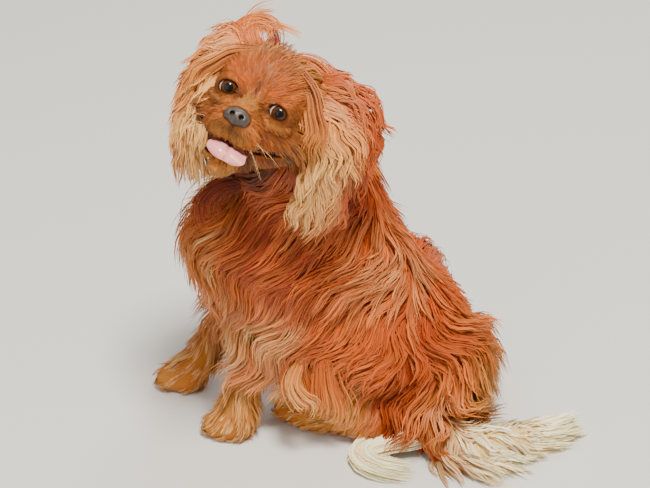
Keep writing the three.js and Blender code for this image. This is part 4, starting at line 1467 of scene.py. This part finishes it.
# Name, spread, count, tones, the way it faces, and knots in the dog's frame.
BODY_TUFTS = (
    ("ruff_curl", 7.0, 60, DARK, (1, 0, 0.4),
     ((-6, -96, 286), (-2, -112, 284), (4, -126, 274), (8, -128, 260), (10, -120, 248))),
    ("belly_front", 7, 130, AMBER, (1, 0, 0.3),
     ((0, -50, 112), (14, -46, 88), (18, -42, 62), (14, -50, 38))),
    ("belly_rear", 8, 130, AMBER, (1, 0, 0.3),
     ((14, -20, 104), (26, -18, 80), (30, -14, 56), (24, -22, 34))),
    ("elbow_left", 5, 110, PALE, (1, 0.2, 0.2),
     ((-8, -62, 118), (2, -54, 92), (4, -58, 62), (0, -72, 36))),
    ("elbow_right", 5, 110, PALE, (1, 0.2, 0.2),
     ((-84, -84, 118), (-76, -76, 92), (-72, -84, 62), (-74, -100, 36))),
    ("knee_curl", 6.0, 40, PALE, (1, 0, 0.4),
     ((16, -44, 100), (34, -50, 88), (40, -42, 74), (34, -34, 62), (30, -40, 50))),
)


def make_tufts():
    for name, spread, count, tones, places in HEAD_TUFTS:
        knots = [in_head(*place) for place in places]
        make_tuft(name, knots, spread, count, tones, HEAD_AXES[0])
    for name, spread, count, tones, facing, knots in BODY_TUFTS:
        make_tuft(name, knots, spread, count, tones, facing)


points, faces = make_skin()
make_eye(1, "eye_left")
make_eye(-1, "eye_right")
make_nose()
make_tongue()
make_body_coat(points, faces)
make_face_coat(points, faces)
make_crown_hair(points, faces)
make_whiskers()
make_ear("ear_left")
make_ear("ear_right")
make_tail()
make_tufts()


# The floor, the light and the camera.
def make_floor():
    material, _, shader = new_material("floor")
    shader.inputs["Base Color"].default_value = (0.72, 0.71, 0.69, 1)
    shader.inputs["Roughness"].default_value = 0.9
    bpy.ops.mesh.primitive_plane_add(size=14, location=(0, 0, 0))
    floor = bpy.context.object
    floor.name = "floor"
    floor.data.materials.append(material)


def add_light(name, place, power, size, tint):
    lamp = bpy.data.lights.new(name, "AREA")
    lamp.energy = power
    lamp.size = size
    lamp.color = tint
    holder = bpy.data.objects.new(name, lamp)
    holder.location = place
    aim = Vector((0.0, 0.0, 0.2)) - Vector(place)
    holder.rotation_euler = aim.to_track_quat("-Z", "Y").to_euler()
    bpy.context.collection.objects.link(holder)


def make_light():
    world = bpy.data.worlds.new("sky")
    bpy.context.scene.world = world
    world.use_nodes = True
    sky = world.node_tree.nodes["Background"]
    sky.inputs["Color"].default_value = (1.0, 0.97, 0.93, 1)
    sky.inputs["Strength"].default_value = 0.48
    add_light("key", (1.1, 0.25, 3.0), 165, 0.6, (1.0, 0.95, 0.83))
    add_light("fill", (1.9, -1.6, 1.6), 14, 2.0, (1.0, 0.98, 0.94))
    add_light("rim", (-1.8, 0.9, 2.2), 24, 1.0, (1.0, 0.97, 0.92))


def make_camera():
    lens = bpy.data.cameras.new("camera")
    lens.sensor_width = SENSOR
    lens.lens = FOCAL_PIXELS / IMAGE_WIDTH * SENSOR
    camera = bpy.data.objects.new("camera", lens)
    sight = Vector((-math.cos(VIEW_PITCH), 0, -math.sin(VIEW_PITCH)))
    top = Vector((-math.sin(VIEW_PITCH), 0, math.cos(VIEW_PITCH)))
    turn = Matrix((Vector(BACK), top, -sight)).transposed()
    camera.matrix_world = Matrix.Translation(Vector(CAMERA_PLACE + MOVE)) @ turn.to_4x4()
    bpy.context.collection.objects.link(camera)
    bpy.context.scene.camera = camera


make_floor()
make_light()
make_camera()
